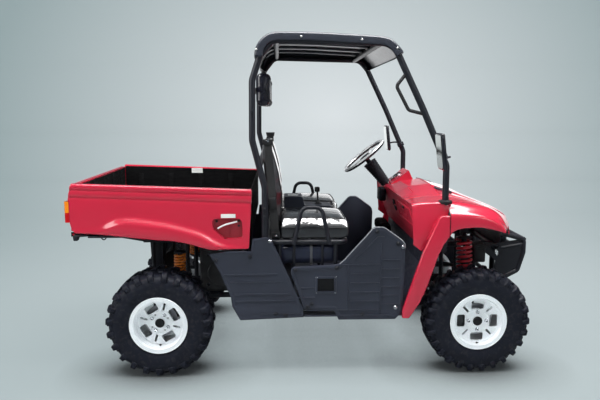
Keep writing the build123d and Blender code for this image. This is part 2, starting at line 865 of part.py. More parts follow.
roof_wall = 5.0
roof_half_width = 655.0
roof_top_line = [
    (rear_axle + 574, roof_height - 158),
    (rear_axle + 578, roof_height - 103),
    (rear_axle + 612, roof_height - 43),
    (rear_axle + 672, roof_height - 2),
    (rear_axle + 740, roof_height),
    (rear_axle + 960, roof_height - 4),
    (front_axle - 720, roof_height - 16),
    (front_axle - 590, roof_height - 25),
    (front_axle - 530, roof_height - 53),
    (front_axle - 486, roof_height - 90),
    (front_axle - 470, roof_height - 124),
]
skirt_drop = 50.0
with BuildPart() as roof:
    skirt = inset(roof_top_line, skirt_drop)
    side_block(roof_top_line + skirt[::-1], -roof_half_width, roof_half_width)
    hollow_top = inset(roof_top_line, roof_wall)
    hollow_bottom = inset(roof_top_line, skirt_drop + 30)
    side_block(
        hollow_top + hollow_bottom[::-1],
        -roof_half_width + roof_wall,
        roof_half_width - roof_wall,
        mode=Mode.SUBTRACT,
    )
    for y in (-420, -140, 140, 420):
        rib = inset(roof_top_line, roof_wall - 1)
        rib_low = inset(roof_top_line, 24)
        side_block(rib[2:8] + rib_low[2:8][::-1], y - 30, y + 30)
save(roof, "roof_panel")

with BuildPart() as grab_handle:
    tube(
        [
            (front_axle - 456, -cage_half_width, 1780),
            (front_axle - 516, -cage_half_width, 1704),
            (front_axle - 442, -cage_half_width, 1568),
            (front_axle - 362, -cage_half_width, 1548),
        ],
        20,
        bend=28,
    )
    tube(
        cage_side_line,
        cage_tube + 2 * bar_clearance,
        bend=cage_bends,
        mode=Mode.SUBTRACT,
    )
save(grab_handle, "grab_handle")

mirror_x = front_axle - 305
with BuildPart() as mirrors:
    side_block(
        [
            (mirror_x - 20, 1446),
            (mirror_x + 6, 1446),
            (mirror_x + 28, 1256),
            (mirror_x + 20, 1238),
            (mirror_x + 1, 1246),
        ],
        -mirror_reach,
        -mirror_reach + 130,
        corner=6,
    )
    tube(
        [
            (mirror_x + 14, -mirror_reach + 75, 1300),
            (mirror_x + 70, -mirror_reach + 110, 1310),
            (front_axle - 222, -cage_half_width - 30, 1300),
            (front_axle - 235, -cage_half_width, 1300),
        ],
        14,
        bend=20,
    )
    tube(
        cage_side_line,
        cage_tube + 2 * bar_clearance,
        bend=cage_bends,
        mode=Mode.SUBTRACT,
    )
    mirror(about=Plane.XZ)
save(mirrors, "mirrors")

# ---------------------------------------------------------------- dash, cowl and bonnet
cowl_side_y = 641.0
dash_half = cowl_side_y - seat_gap
panel_gap = 0.8
seam_gap = 2.6
door_gap = 3.0
door_thickness = 9.0
bonnet_half = 428.0
seam_x = front_axle - 190
glove_low_y, glove_high_y = -560.0, -150.0
glove_top_s, glove_bottom_s = 40.0, 165.0
glove_depth = 85.0

dash_run = Vector(dash_bottom[0] - dash_top[0], 0, dash_bottom[1] - dash_top[1]).normalized()
dash_normal = Vector(dash_run.Z, 0, -dash_run.X)
dash_plane = Plane(
    origin=(dash_top[0], 0, dash_top[1]), x_dir=(0, -1, 0), z_dir=tuple(dash_normal)
)
glove_centre = ((-glove_low_y - glove_high_y) / 2, -(glove_top_s + glove_bottom_s) / 2)
glove_width = glove_high_y - glove_low_y
glove_height = glove_bottom_s - glove_top_s

column_axis = Vector(-cos(radians(51.1)), 0, sin(radians(51.1)))
wheel_centre = Vector(front_axle - 560, steering_wheel_y, 1236)


def on_column(distance):
    """Point on the steering column, measured down from the wheel's centre."""
    point = wheel_centre - column_axis * distance
    return (point.X, point.Y, point.Z)


with BuildPart() as dash:
    dash_start = (dash_top[0] + 5.5 * dash_run.X, dash_top[1] + 5.5 * dash_run.Z)
    face_line = [dash_start, dash_bottom, dash_foot]
    side_block(face_line + inset(face_line, -panel_wall)[::-1], -dash_half, dash_half)
    with BuildSketch(dash_plane) as glove_hole:
        with Locations(glove_centre):
            Rectangle(glove_width, glove_height)
    extrude(glove_hole.sketch, amount=-panel_wall - 6, both=True, mode=Mode.SUBTRACT)
    with BuildSketch(dash_plane.offset(1 - panel_wall)) as glove_box:
        with Locations(glove_centre):
            Rectangle(glove_width + 2 * panel_wall, glove_height + 2 * panel_wall)
    extrude(glove_box.sketch, amount=-glove_depth)
    with BuildSketch(dash_plane) as glove_room:
        with Locations(glove_centre):
            Rectangle(glove_width, glove_height)
    extrude(glove_room.sketch, amount=-glove_depth, mode=Mode.SUBTRACT)
    rod(on_column(200), on_column(420), 34, mode=Mode.SUBTRACT)
    for y in (-dash_half - 20, 596):
        box_between(
            (dash_top[0] - 20, y, 1000), (dash_top[0] + 60, y + 64, 1040), mode=Mode.SUBTRACT
        )
save(dash, "dash_panel")

with BuildPart() as glove_door:
    with BuildSketch(dash_plane.offset(6)) as door_face:
        with Locations(glove_centre):
            Rectangle(glove_width - 2 * door_gap, glove_height - 2 * door_gap)
    extrude(door_face.sketch, amount=-door_thickness)
    bottom_edges = glove_door.edges().filter_by(Axis.Y).sort_by(Axis.Z)[:2]
    fillet(bottom_edges, radius=door_thickness / 2 - 0.1)
    hinge_s = glove_bottom_s - door_gap - door_thickness / 2
    hinge_point = dash_plane.origin + dash_run * hinge_s + dash_normal * (6 - door_thickness / 2)
    for y, reach in ((glove_low_y, seat_gap), (glove_high_y, -seat_gap)):
        pin_middle = (hinge_point.X, (glove_low_y + glove_high_y) / 2, hinge_point.Z)
        rod(pin_middle, (hinge_point.X, y + reach, hinge_point.Z), 3)
save(glove_door, "glove_box_door")

pod_half = 118.0
with BuildPart() as cowl:
    skin(
        [
            (-bonnet_half, [dash_top, (front_axle - 330, 1040), (seam_x - seam_gap, 1050)]),
            (-150, [dash_top, (front_axle - 330, 1070), (seam_x - seam_gap, 1086)]),
            (150, [dash_top, (front_axle - 330, 1070), (seam_x - seam_gap, 1086)]),
            (bonnet_half, [dash_top, (front_axle - 330, 1040), (seam_x - seam_gap, 1050)]),
        ],
        panel_wall,
    )
    side_block(
        [
            (front_axle - 392, 1034),
            (front_axle - 316, 1086),
            (front_axle - 252, 1140),
            (front_axle - 232, 1096),
            (front_axle - 214, 1064),
            (front_axle - 330, 1046),
        ],
        steering_wheel_y - pod_half,
        steering_wheel_y + pod_half - 30,
        corner=4,
    )
    rod(on_column(150), on_column(420), 34, mode=Mode.SUBTRACT)
save(cowl, "cowl_and_instrument_pod")

bonnet_centre = front_line(
    [
        (-190, 1092), (-124, 1068), (-50, 1042), (56, 1001), (200, 946), (300, 906),
        (346, 878), (352, 800),
    ]
)
bonnet_mid = front_line(
    [
        (-190, 1086), (-124, 1064), (-50, 1040), (56, 998), (195, 944), (285, 902),
        (325, 870), (330, 800),
    ]
)
bonnet_edge = front_line(
    [
        (-190, 1050), (-124, 1042), (-50, 1030), (56, 1004), (140, 968), (210, 922),
        (248, 876), (256, 800),
    ]
)
with BuildPart() as bonnet:
    skin(
        [
            (-bonnet_half, bonnet_edge),
            (-200, bonnet_mid),
            (0, bonnet_centre),
            (200, bonnet_mid),
            (bonnet_half, bonnet_edge),
        ],
        panel_wall,
    )
save(bonnet, "bonnet")

fender_inner = front_line(
    [
        (-190, 1050), (-124, 1042), (-50, 1030), (56, 1004), (140, 968), (210, 922),
        (244, 876),
    ]
)
fender_edge = front_line(
    [
        (-190, 1034), (-124, 1026), (-50, 1014), (40, 1000), (100, 980), (150, 934),
        (178, 876),
    ]
)
fender_step = front_line(
    [(-190, 992), (-124, 990), (-50, 984), (30, 968), (90, 944), (130, 912), (150, 872)]
)
fender_crease = front_line(
    [(-190, 962), (-124, 964), (-50, 962), (20, 952), (80, 926), (118, 896), (136, 868)]
)
arch_line = front_line([(-190, 838), (-174, 872), (-109, 886), (3, 890), (80, 872), (136, 856)])
with BuildPart() as fender:
    skin(
        [
            (-wheel_face_y, fender_crease),
            (-wheel_face_y + 40, fender_step),
            (-600, fender_edge),
            (-bonnet_half - panel_gap, fender_inner),
        ],
        panel_wall,
    )
    side_block(
        fender_crease + arch_line[::-1],
        -wheel_face_y,
        -wheel_face_y + panel_wall,
    )
    mirror(about=Plane.XZ)
save(fender, "front_fenders")

leg_outer = front_line([(-462, 345), (-459, 400), (-346, 748), (-258, 946), (-240, 960)])
leg_inner = front_line(
    [
        (-192.6, 962), (-192.6, 838), (-227, 787), (-253, 730), (-313, 548), (-357, 441),
        (-419, 345),
    ]
)
leg_head = front_line(
    [(-325, 812), (-258, 946), (-240, 960), (-192.6, 962), (-192.6, 838), (-207, 812)]
)
leg_depth = wheel_face_y - guard_face_y - 2


def leg_shell(outline, depth):
    """Open-backed flare: a face sheet with a rim standing inwards."""
    side_block(outline, -wheel_face_y, -wheel_face_y + depth)
    with BuildSketch(Plane.XZ.offset(wheel_face_y - depth)) as room:
        with BuildLine():
            Polyline(*outline, close=True)
        make_face()
        offset(amount=-panel_wall)
    extrude(room.sketch, amount=depth - panel_wall, mode=Mode.SUBTRACT)


side_top = [
    (dash_top[0], 1024),
    (front_axle - 390, 1034),
    (front_axle - 222, 1038),
    (seam_x - seam_gap, 1034),
]
side_crown = [
    dash_top,
    (front_axle - 330, 1040),
    (seam_x - 100, 1046),
    (seam_x - seam_gap, 1050),
]
with BuildPart() as cowl_side:
    skin(
        [
            (-cowl_side_y - panel_wall, [(x, z - 14) for x, z in side_top]),
            (-600, side_top),
            (-bonnet_half - panel_gap, side_crown),
        ],
        panel_wall,
    )
    side_block(
        [
            (side_top[0][0], side_top[0][1] - 14),
            (side_top[1][0], side_top[1][1] - 14),
            (side_top[2][0], side_top[2][1] - 14),
            (side_top[3][0], side_top[3][1] - 14),
            (seam_x - seam_gap, 900),
            (front_axle - 300, 800),
            (front_axle - 346, 744),
            (front_axle - 335, 733),
            (front_axle - 399, 782),
            (front_axle - 397, 809),
        ],
        -cowl_side_y - panel_wall,
        -cowl_side_y,
    )
    leg_shell(leg_outer + leg_inner, leg_depth)
    leg_shell(leg_head, wheel_face_y - cowl_side_y)
    rod(
        (pillar_x - 1, -cage_half_width, 700),
        (pillar_x - 1, -cage_half_width, 1100),
        tube_radius + 2,
        mode=Mode.SUBTRACT,
    )
save_pair(cowl_side, "cowl_side")

# ---------------------------------------------------------------- nose, lamps and bumper
nose_face_x = front_end_x + frame_tube / 2 + seat_gap
bonnet_lip_z = 800.0
bumper_y = 300.0
bumper_tube = 32.0
with BuildPart() as grille:
    front_block(
        [(-276, 650), (276, 650), (276, bonnet_lip_z - 3), (-276, bonnet_lip_z - 3)],
        nose_face_x,
        nose_face_x + 6,
        corner=20,
    )
save(grille, "front_grille")

lamp_x = nose_face_x + 6 + seat_gap
with BuildPart() as headlamps:
    with BuildSketch(Plane.XY.offset(662)) as lamp_plan:
        with BuildLine():
            Polyline(
                (lamp_x, -140),
                (lamp_x, -262),
                (lamp_x + 46, -262),
                (lamp_x + 60, -140),
                close=True,
            )
        make_face()
        fillet(lamp_plan.vertices(), radius=6)
    extrude(lamp_plan.sketch, amount=84)
    mirror(about=Plane.XZ)
save(headlamps, "headlamps")

bumper_front = nose - bumper_tube / 2
bumper_stub_x = front_end_x + brace_tube / 2 + seat_gap
with BuildPart() as bumper:
    for y in (-bumper_y, bumper_y):
        tube(
            [
                (nose_face_x, y, 779),
                (bumper_front, y, 738),
                (bumper_front, y, 650),
                (front_axle + 369, y, 532),
                (nose_face_x - 0.8, y, 470),
            ],
            bumper_tube,
            bend=[34, 30, 30],
        )
        rod((bumper_stub_x, y, front_top_z - 10), (bumper_front, y, 706), 12)
    for z in (738, 660):
        across(bumper_front, z, bumper_y, bumper_tube - 5)
save(bumper, "front_bumper")

# ---------------------------------------------------------------- steering wheel and column
rim_bar = 28.0
with BuildPart() as column:
    rod(on_column(30 + seat_gap), on_column(620), 17)
    rod(on_column(62), on_column(262), 32)
    rod(on_column(64), on_column(170), 38)
save(column, "steering_column")

hub_plane = Plane(origin=tuple(wheel_centre), x_dir=(0, 1, 0), z_dir=tuple(column_axis))
ring_plane = Plane(
    origin=tuple(wheel_centre), x_dir=(0, 1, 0), z_dir=tuple(column_axis.cross(Vector(0, 1, 0)))
)
with BuildPart() as steering_wheel:
    ring_radius = (steering_wheel_diameter - rim_bar) / 2
    with BuildSketch(ring_plane) as ring_section:
        with Locations((ring_radius, 0)):
            Circle(rim_bar / 2)
    revolve(ring_section.sketch, axis=Axis(tuple(wheel_centre), tuple(column_axis)))
    with BuildSketch(hub_plane.offset(-30)) as hub_section:
        Circle(46)
    extrude(hub_section.sketch, amount=26)
    with BuildSketch(hub_plane.offset(-18)) as spokes:
        with PolarLocations(0, 3, start_angle=90):
            with Locations((ring_radius / 2, 0)):
                Rectangle(ring_radius, 36)
    extrude(spokes.sketch, amount=8)
save(steering_wheel, "steering_wheel")

# ---------------------------------------------------------------- load bed and tailgate
bed_wall = 6.0
bed_inner_half = 602.0
bed_liner_half = bed_inner_half - 0.3
bed_front_x = rear_axle + 551
gate_x = rear_axle - 489
gate_pivot_z = 850.0
gate_lug = 13.0
gate_pin_radius = 6.0
gate_half = bed_liner_half - bed_wall - moving_gap
bed_floor_end = rear_axle - 458
runner_y = 300.0
runner_z = upper_rail_z + frame_tube / 2 + seat_gap
floor_sheet = 8.0

with BuildPart() as bed_floor:
    floor_low = bed_floor_top - floor_sheet
    box_between(
        (bed_floor_end, -bed_liner_half, floor_low), (bed_front_x - bed_wall, bed_liner_half, bed_floor_top)
    )
    side_block(
        [
            (bed_front_x - bed_wall, floor_low),
            (bed_front_x, floor_low),
            (bed_front_x, 1106),
            (bed_front_x - bed_wall, 1106),
        ],
        -bed_liner_half,
        bed_liner_half,
    )
    for side in (-1, 1):
        side_block(
            [
                (rear_axle - 470, floor_low),
                (bed_front_x, floor_low),
                (bed_front_x, 1106),
                (rear_axle - 470, 1142),
            ],
            side * bed_liner_half,
            side * (bed_liner_half - bed_wall),
        )
        box_between(
            (rail_end_x + 15, side * runner_y - 20, runner_z),
            (bed_front_x - 20, side * runner_y + 20, floor_low),
        )
        side_block(
            [
                (gate_x - gate_lug, gate_pivot_z - gate_lug),
                (rear_axle - 466, gate_pivot_z - gate_lug),
                (rear_axle - 466, gate_pivot_z + gate_lug),
                (gate_x - gate_lug, gate_pivot_z + gate_lug),
            ],
            side * bed_liner_half,
            side * (bed_liner_half - bed_wall),
        )
        side_block(
            [
                (bed_hinge_x - 30, floor_low),
                (bed_hinge_x - 26, bed_hinge_z - 20),
                (bed_hinge_x + 26, bed_hinge_z - 20),
                (bed_hinge_x + 40, floor_low),
            ],
            side * 240,
            side * 250,
        )
    rod(
        (bed_hinge_x, -upper_rail_y, bed_hinge_z),
        (bed_hinge_x, upper_rail_y, bed_hinge_z),
        hinge_tube / 2 + pivot_gap,
        mode=Mode.SUBTRACT,
    )
    rod(
        (gate_x, -bed_liner_half - 1, gate_pivot_z),
        (gate_x, bed_liner_half + 1, gate_pivot_z),
        gate_pin_radius + pivot_gap,
        mode=Mode.SUBTRACT,
    )
save(bed_floor, "bed_floor")

side_outline = [
    (rear_axle - 469, 861),
    (rear_axle - 256, 846),
    (rear_axle - 30, 822),
    (rear_axle + 116, 812),
    (rear_axle + 288, 762),
    (rear_axle + 535, 761),
    (rear_axle + 557, 1113),
    (rear_axle - 481, 1152),
    (rear_axle - 500, 1072),
    (rear_axle - 512, 980),
    (rear_axle - 498, 903),
]
flare_outline = [
    (rear_axle - 256, 846),
    (rear_axle - 30, 822),
    (rear_axle + 116, 812),
    (rear_axle + 288, 762),
    (rear_axle + 416, 762),
    (rear_axle + 344, 819),
    (rear_axle + 253, 876),
    (rear_axle + 72, 928),
    (rear_axle - 145, 960),
    (rear_axle - 199, 958),
    (rear_axle - 314, 907),
]
pocket_outline = [
    (rear_axle + 324, 930),
    (rear_axle + 334, 946),
    (rear_axle + 482, 945),
    (rear_axle + 498, 924),
    (rear_axle + 501, 837),
    (rear_axle + 485, 825),
    (rear_axle + 392, 824),
    (rear_axle + 326, 886),
]
with BuildPart() as bed_side:
    side_block(side_outline, -body_half_width, -bed_inner_half)
    side_block(flare_outline, -body_half_width - 24, -body_half_width)
    side_block(pocket_outline, -body_half_width, -body_half_width + 26, mode=Mode.SUBTRACT)
save_pair(bed_side, "bed_side")

with BuildPart() as tailgate:
    side_block(
        [
            (gate_x - 15, gate_pivot_z + 18),
            (gate_x + 15, gate_pivot_z + 18),
            (gate_x + 15, bed_rim_height - 12),
            (gate_x - 9, bed_rim_height - 10),
            (gate_x - 15, bed_rim_height - 30),
        ],
        -gate_half,
        gate_half,
    )
    for side in (-1, 1):
        y = side * (gate_half - 60)
        box_between((gate_x - 12, y - 14, gate_pivot_z - 8), (gate_x + 12, y + 14, gate_pivot_z + 20))
        pin_end = side * (bed_liner_half - 1)
        rod((gate_x, y, gate_pivot_z), (gate_x, pin_end, gate_pivot_z), gate_pin_radius)
save(tailgate, "tailgate")

for name, z_low, z_high in (("indicator_lamps", 985, 1050), ("tail_lamps", 928, 984)):
    with BuildPart() as lamp:
        box_between(
            (tail, -body_half_width - 1.3, z_low), (tail + 30, -body_half_width + 40, z_high)
        )
        fillet(lamp.edges().filter_by(Axis.Z), radius=8)
        side_block(side_outline, -body_half_width - 0.3, -bed_inner_half, mode=Mode.SUBTRACT)
        mirror(about=Plane.XZ)
    save(lamp, name)
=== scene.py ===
"""Finishes, soft goods and trim for a two-seat side-by-side utility vehicle."""
from math import atan2, cos, hypot, pi, radians, sin

import bpy
from mathutils import Matrix, Vector


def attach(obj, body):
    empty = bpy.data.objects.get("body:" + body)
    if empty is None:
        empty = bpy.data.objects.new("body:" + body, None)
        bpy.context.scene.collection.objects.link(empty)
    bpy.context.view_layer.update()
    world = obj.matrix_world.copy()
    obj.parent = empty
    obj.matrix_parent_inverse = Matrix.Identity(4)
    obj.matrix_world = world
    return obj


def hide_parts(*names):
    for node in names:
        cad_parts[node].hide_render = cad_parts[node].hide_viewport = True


bl_info = {
    "name": "Utility side-by-side trim",
    "version": (1, 0, 0),
    "blender": (4, 5, 0),
    "location": "View3D > Sidebar > Vehicle",
    "description": "Adds tyres, springs, seats, body skins, trim and a stage to the vehicle's frame",
    "category": "Object",
}

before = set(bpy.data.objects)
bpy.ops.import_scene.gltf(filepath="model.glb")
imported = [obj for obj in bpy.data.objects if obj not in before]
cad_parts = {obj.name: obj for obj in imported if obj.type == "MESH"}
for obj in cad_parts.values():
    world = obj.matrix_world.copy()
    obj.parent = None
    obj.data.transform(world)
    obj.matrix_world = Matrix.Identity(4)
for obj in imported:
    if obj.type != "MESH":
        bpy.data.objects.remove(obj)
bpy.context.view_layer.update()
X, Y, Z = Vector((1, 0, 0)), Vector((0, 1, 0)), Vector((0, 0, 1))
SIDES = (("right", -1), ("left", 1))
REAR_AXLE, FRONT_AXLE = -0.9, 1.0
WHEEL_HEIGHT, WHEEL_FACE = 0.315, 0.69
SEAT_SIDE = 0.35
GUARD_FACE, BOLT_FACE = -0.655, -0.6552
STEERING_RADIUS, STEERING_TUBE = 0.1685, 0.0138
MERGE_GAP = 0.00002


# ------------------------------------------------------------------ sizes and colours
class VehicleSizes(bpy.types.PropertyGroup):
    """Sizes of the trim that a user may change."""

    rear_lugs: bpy.props.IntProperty(
        name="Rear tread pitches", description="Groups of lugs round each rear tyre", default=23, min=12
    )
    front_lugs: bpy.props.IntProperty(
        name="Front tread pitches", description="Groups of lugs round each front tyre", default=26, min=12
    )
    coil_wire: bpy.props.FloatProperty(
        name="Spring wire", description="Thickness of the coil springs' wire",
        default=0.0125, unit="LENGTH",
    )
    seam_width: bpy.props.FloatProperty(
        name="Piping", description="Radius of the piping along the seats' seams",
        default=0.0035, unit="LENGTH",
    )
    bolt_width: bpy.props.FloatProperty(
        name="Bolt head", description="Width across a body bolt's head",
        default=0.018, unit="LENGTH",
    )


class VehicleColours(bpy.types.PropertyGroup):
    """Colours of the painted and moulded parts."""

    body: bpy.props.FloatVectorProperty(
        name="Body", description="Colour of the red body skins",
        default=(0.54, 0.017, 0.046), subtype="COLOR", min=0, max=1,
    )
    moulding: bpy.props.FloatVectorProperty(
        name="Mouldings", description="Colour of the dark side guards and panels",
        default=(0.025, 0.029, 0.046), subtype="COLOR", min=0, max=1,
    )
    rear_spring: bpy.props.FloatVectorProperty(
        name="Rear springs", description="Colour of the rear coil springs",
        default=(0.74, 0.2, 0.02), subtype="COLOR", min=0, max=1,
    )
    front_spring: bpy.props.FloatVectorProperty(
        name="Front springs", description="Colour of the front coil springs",
        default=(0.5, 0.02, 0.035), subtype="COLOR", min=0, max=1,
    )


# ------------------------------------------------------------------ modelling tools
def clear_selection():
    """Object mode with nothing selected."""
    active = bpy.context.view_layer.objects.active
    if active is not None and active.mode != "OBJECT":
        bpy.ops.object.mode_set(mode="OBJECT")
    bpy.ops.object.select_all(action="DESELECT")


def pick(*objects):
    """Selects only these objects; the first one is active."""
    clear_selection()
    for obj in objects:
        obj.select_set(True)
    bpy.context.view_layer.objects.active = objects[0]


def edit(obj):
    """Edit mode on this object with its whole mesh selected."""
    pick(obj)
    bpy.ops.object.mode_set(mode="EDIT")
    bpy.ops.mesh.select_all(action="SELECT")


def close_edit(outward=True):
    """Merges doubles, turns the faces outwards and leaves edit mode."""
    bpy.ops.mesh.select_all(action="SELECT")
    bpy.ops.mesh.remove_doubles(threshold=MERGE_GAP)
    if outward:
        bpy.ops.mesh.normals_make_consistent(inside=False)
    bpy.ops.object.mode_set(mode="OBJECT")


def settle(obj):
    """Applies the object's place, turn and size to its mesh."""
    pick(obj)
    bpy.ops.object.transform_apply(location=True, rotation=True, scale=True)
    return obj


def shape(obj, kind, **values):
    """Adds one modifier with these values and applies it."""
    pick(obj)
    modifier = obj.modifiers.new(kind.title(), kind)
    for key, value in values.items():
        setattr(modifier, key, value)
    bpy.ops.object.modifier_apply(modifier=modifier.name)
    return obj


def soften(obj, width, segments=2, angle=35):
    """Rounds the edges that are sharper than the angle."""
    shape(obj, "BEVEL", width=width, segments=segments, limit_method="ANGLE", angle_limit=radians(angle))
    return smooth(obj, angle)


def smooth(obj, angle=35):
    """Smooth shading between faces that meet at less than the angle."""
    pick(obj)
    bpy.ops.object.shade_smooth_by_angle(angle=radians(angle))
    return obj


def merge(*objects):
    """Joins pieces into the first one."""
    pick(*objects)
    if len(objects) > 1:
        bpy.ops.object.join()
    return bpy.context.view_layer.objects.active


def block(low, high, width=0.0, segments=2):
    """Box between two corners with rounded edges."""
    low, high = Vector(low), Vector(high)
    clear_selection()
    bpy.ops.mesh.primitive_cube_add(size=1, location=(low + high) / 2, scale=high - low)
    obj = settle(bpy.context.object)
    return soften(obj, width, segments) if width else obj


def chain(points, filled):
    """Closed line of points, filled with one face or left open."""
    clear_selection()
    bpy.ops.mesh.primitive_circle_add(
        vertices=len(points), radius=1, fill_type="NGON" if filled else "NOTHING", location=(0, 0, 0)
    )
    obj = bpy.context.object
    for vertex, point in zip(obj.data.vertices, points):
        vertex.co = point
    return obj


def plate(points, depth, width=0.0, segments=2):
    """Solid plate: a closed outline pushed along the depth vector."""
    obj = chain(points, filled=True)
    edit(obj)
    bpy.ops.mesh.extrude_region_move(TRANSFORM_OT_translate={"value": depth})
    close_edit()
    return soften(obj, width, segments) if width else obj


def turned(profile, centre, axis=Y, steps=48, angle=30):
    """Solid turned about an axis from a closed (radius, distance along) outline."""
    centre, axis = Vector(centre), Vector(axis).normalized()
    side = axis.orthogonal().normalized()
    obj = chain([centre + side * radius + axis * along for radius, along in profile], filled=False)
    edit(obj)
    bpy.ops.mesh.spin(steps=steps, angle=2 * pi, center=centre, axis=axis)
    close_edit()
    return smooth(obj, angle)


def pipe(points, radius, order=3, closed=False, detail=3):
    """Round bar that follows a smooth line through its bends."""
    clear_selection()
    bpy.ops.curve.primitive_nurbs_path_add(location=(0, 0, 0))
    obj = bpy.context.object
    curve = obj.data
    curve.splines.clear()
    line = curve.splines.new("NURBS")
    line.points.add(len(points) - 1)
    for spot, point in zip(line.points, points):
        spot.co = (*point, 1)
    line.order_u = min(order, len(points))
    line.use_endpoint_u = not closed
    line.use_cyclic_u = closed
    line.resolution_u = 4
    curve.bevel_depth = radius
    curve.bevel_resolution = detail
    curve.use_fill_caps = True
    pick(obj)
    bpy.ops.object.convert(target="MESH")
    obj = bpy.context.object
    edit(obj)
    close_edit()
    return smooth(obj, 40)


def duplicate(obj):
    """Copy of the piece with its own mesh."""
    twin = obj.copy()
    twin.data = obj.data.copy()
    bpy.context.collection.objects.link(twin)
    return twin


def reflected(obj):
    """Mirror image of the piece across the vehicle, as a piece of its own."""
    twin = duplicate(obj)
    twin.scale = (1, -1, 1)
    settle(twin)
    edit(twin)
    close_edit()
    return twin


def copies(obj, places):
    """A copy of the piece at each matrix, joined into one piece."""
    made = []
    for place in places:
        copy = duplicate(obj)
        copy.matrix_world = place
        made.append(copy)
    bpy.data.objects.remove(obj)
    for copy in made:
        settle(copy)
    return merge(*made)


def moved(*spots):
    """One shift matrix for each spot."""
    return [Matrix.Translation(Vector(spot)) for spot in spots]


def both_sides(obj):
    """The piece and its mirror image across the vehicle, as one piece."""
    return merge(obj, reflected(obj))


def facing(spot, direction):
    """Matrix that stands a piece modelled along +Z on a spot, facing the direction."""
    turn = Vector(direction).to_track_quat("Z", "Y").to_matrix().to_4x4()
    return Matrix.Translation(Vector(spot)) @ turn


def bolt_head(width, washer=True):
    """Hexagon bolt head with a washer, standing on the origin along +Z."""
    height = width * 0.42
    clear_selection()
    bpy.ops.mesh.primitive_cylinder_add(
        vertices=6, radius=width / 2, depth=height, location=(0, 0, height / 2 + 0.0012)
    )
    head = soften(settle(bpy.context.object), width * 0.06, 1, 20)
    if not washer:
        return head
    rim = width * 0.74
    ring = turned([(0, 0), (rim, 0), (rim, 0.0009), (rim - 0.0006, 0.0016), (0, 0.0016)], (0, 0, 0), Z, 20)
    return merge(head, ring)


def button_head(width):
    """Low round fastener head, standing on the origin along +Z."""
    r = width / 2
    return turned([(0, 0), (r, 0), (r * 0.94, r * 0.2), (r * 0.62, r * 0.42), (r * 0.3, r * 0.48),
                   (0, r * 0.3)], (0, 0, 0), Z, 20)


def row_at(y, line):
    """Points of a side-view line at one distance from the middle."""
    return [(x, y, z) for x, z in line]


def on_side(y, spots):
    """Frames that look to the right, at side-view points."""
    return [facing((x, y, z), -Y) for x, z in spots]


def present(obj, name, body, finish, stands_for=()):
    """Names a finished piece, gives it its finish and hangs it on its body."""
    settle(obj)
    obj.name = name
    obj.data.name = name
    obj.data.materials.clear()
    obj.data.materials.append(finishes()[finish])
    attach(obj, body)
    if stands_for:
        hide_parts(*stands_for)
    return obj


# ------------------------------------------------------------------ finishes
def start_finish(name, roughness, metallic=0.0, coat=0.0, coat_roughness=0.1):
    """New material; returns it with its node tree, its shader and its object coordinates."""
    material = bpy.data.materials.new(name)
    material.use_nodes = True
    tree = material.node_tree
    tree.nodes.clear()
    output = tree.nodes.new("ShaderNodeOutputMaterial")
    shader = tree.nodes.new("ShaderNodeBsdfPrincipled")
    tree.links.new(shader.outputs["BSDF"], output.inputs["Surface"])
    shader.inputs["Roughness"].default_value = roughness
    shader.inputs["Metallic"].default_value = metallic
    shader.inputs["Coat Weight"].default_value = coat
    shader.inputs["Coat Roughness"].default_value = coat_roughness
    place = tree.nodes.new("ShaderNodeTexCoord").outputs["Object"]
    return material, tree, shader, place


def shifted(tree, place, centre=(0, 0, 0), stretch=(1, 1, 1)):
    """Object coordinates measured from a centre and stretched along the axes."""
    mapping = tree.nodes.new("ShaderNodeMapping")
    mapping.inputs["Scale"].default_value = stretch
    mapping.inputs["Location"].default_value = [-c * s for c, s in zip(centre, stretch)]
    tree.links.new(place, mapping.inputs["Vector"])
    return mapping.outputs["Vector"]


def mottle(tree, place, scale, detail=4.0, distortion=0.0):
    """Soft uneven pattern from 0 to 1."""
    noise = tree.nodes.new("ShaderNodeTexNoise")
    noise.inputs["Scale"].default_value = scale
    noise.inputs["Detail"].default_value = detail
    noise.inputs["Distortion"].default_value = distortion
    tree.links.new(place, noise.inputs["Vector"])
    return noise.outputs["Fac"]


def pebbles(tree, place, scale):
    """Small raised cells, as in leather or textured plastic."""
    cells = tree.nodes.new("ShaderNodeTexVoronoi")
    cells.inputs["Scale"].default_value = scale
    tree.links.new(place, cells.inputs["Vector"])
    return cells.outputs["Distance"]


def lines(tree, place, scale, direction="Z", rings=False, distortion=0.0):
    """Fine parallel lines, or rings about the Y axis."""
    wave = tree.nodes.new("ShaderNodeTexWave")
    wave.wave_type = "RINGS" if rings else "BANDS"
    wave.rings_direction = "Y"
    wave.bands_direction = direction
    wave.inputs["Scale"].default_value = scale
    wave.inputs["Distortion"].default_value = distortion
    tree.links.new(place, wave.inputs["Vector"])
    return wave.outputs["Fac"]


def span(tree, factor, low, high, start=0.0, end=1.0):
    """The factor spread over a range of numbers."""
    ramp = tree.nodes.new("ShaderNodeMapRange")
    ramp.inputs["From Min"].default_value = start
    ramp.inputs["From Max"].default_value = end
    ramp.inputs["To Min"].default_value = low
    ramp.inputs["To Max"].default_value = high
    tree.links.new(factor, ramp.inputs["Value"])
    return ramp.outputs["Result"]


def blend_colours(tree, factor, first, second):
    """Colour between two, by the factor. A colour is three numbers or a socket."""
    mix = tree.nodes.new("ShaderNodeMix")
    mix.data_type = "RGBA"
    tree.links.new(factor, mix.inputs["Factor"])
    for spot, colour in (("A", first), ("B", second)):
        socket = [s for s in mix.inputs if s.name == spot and s.type == "RGBA"][0]
        if isinstance(colour, bpy.types.NodeSocket):
            tree.links.new(colour, socket)
        else:
            socket.default_value = (*colour, 1)
    return [s for s in mix.outputs if s.type == "RGBA"][0]


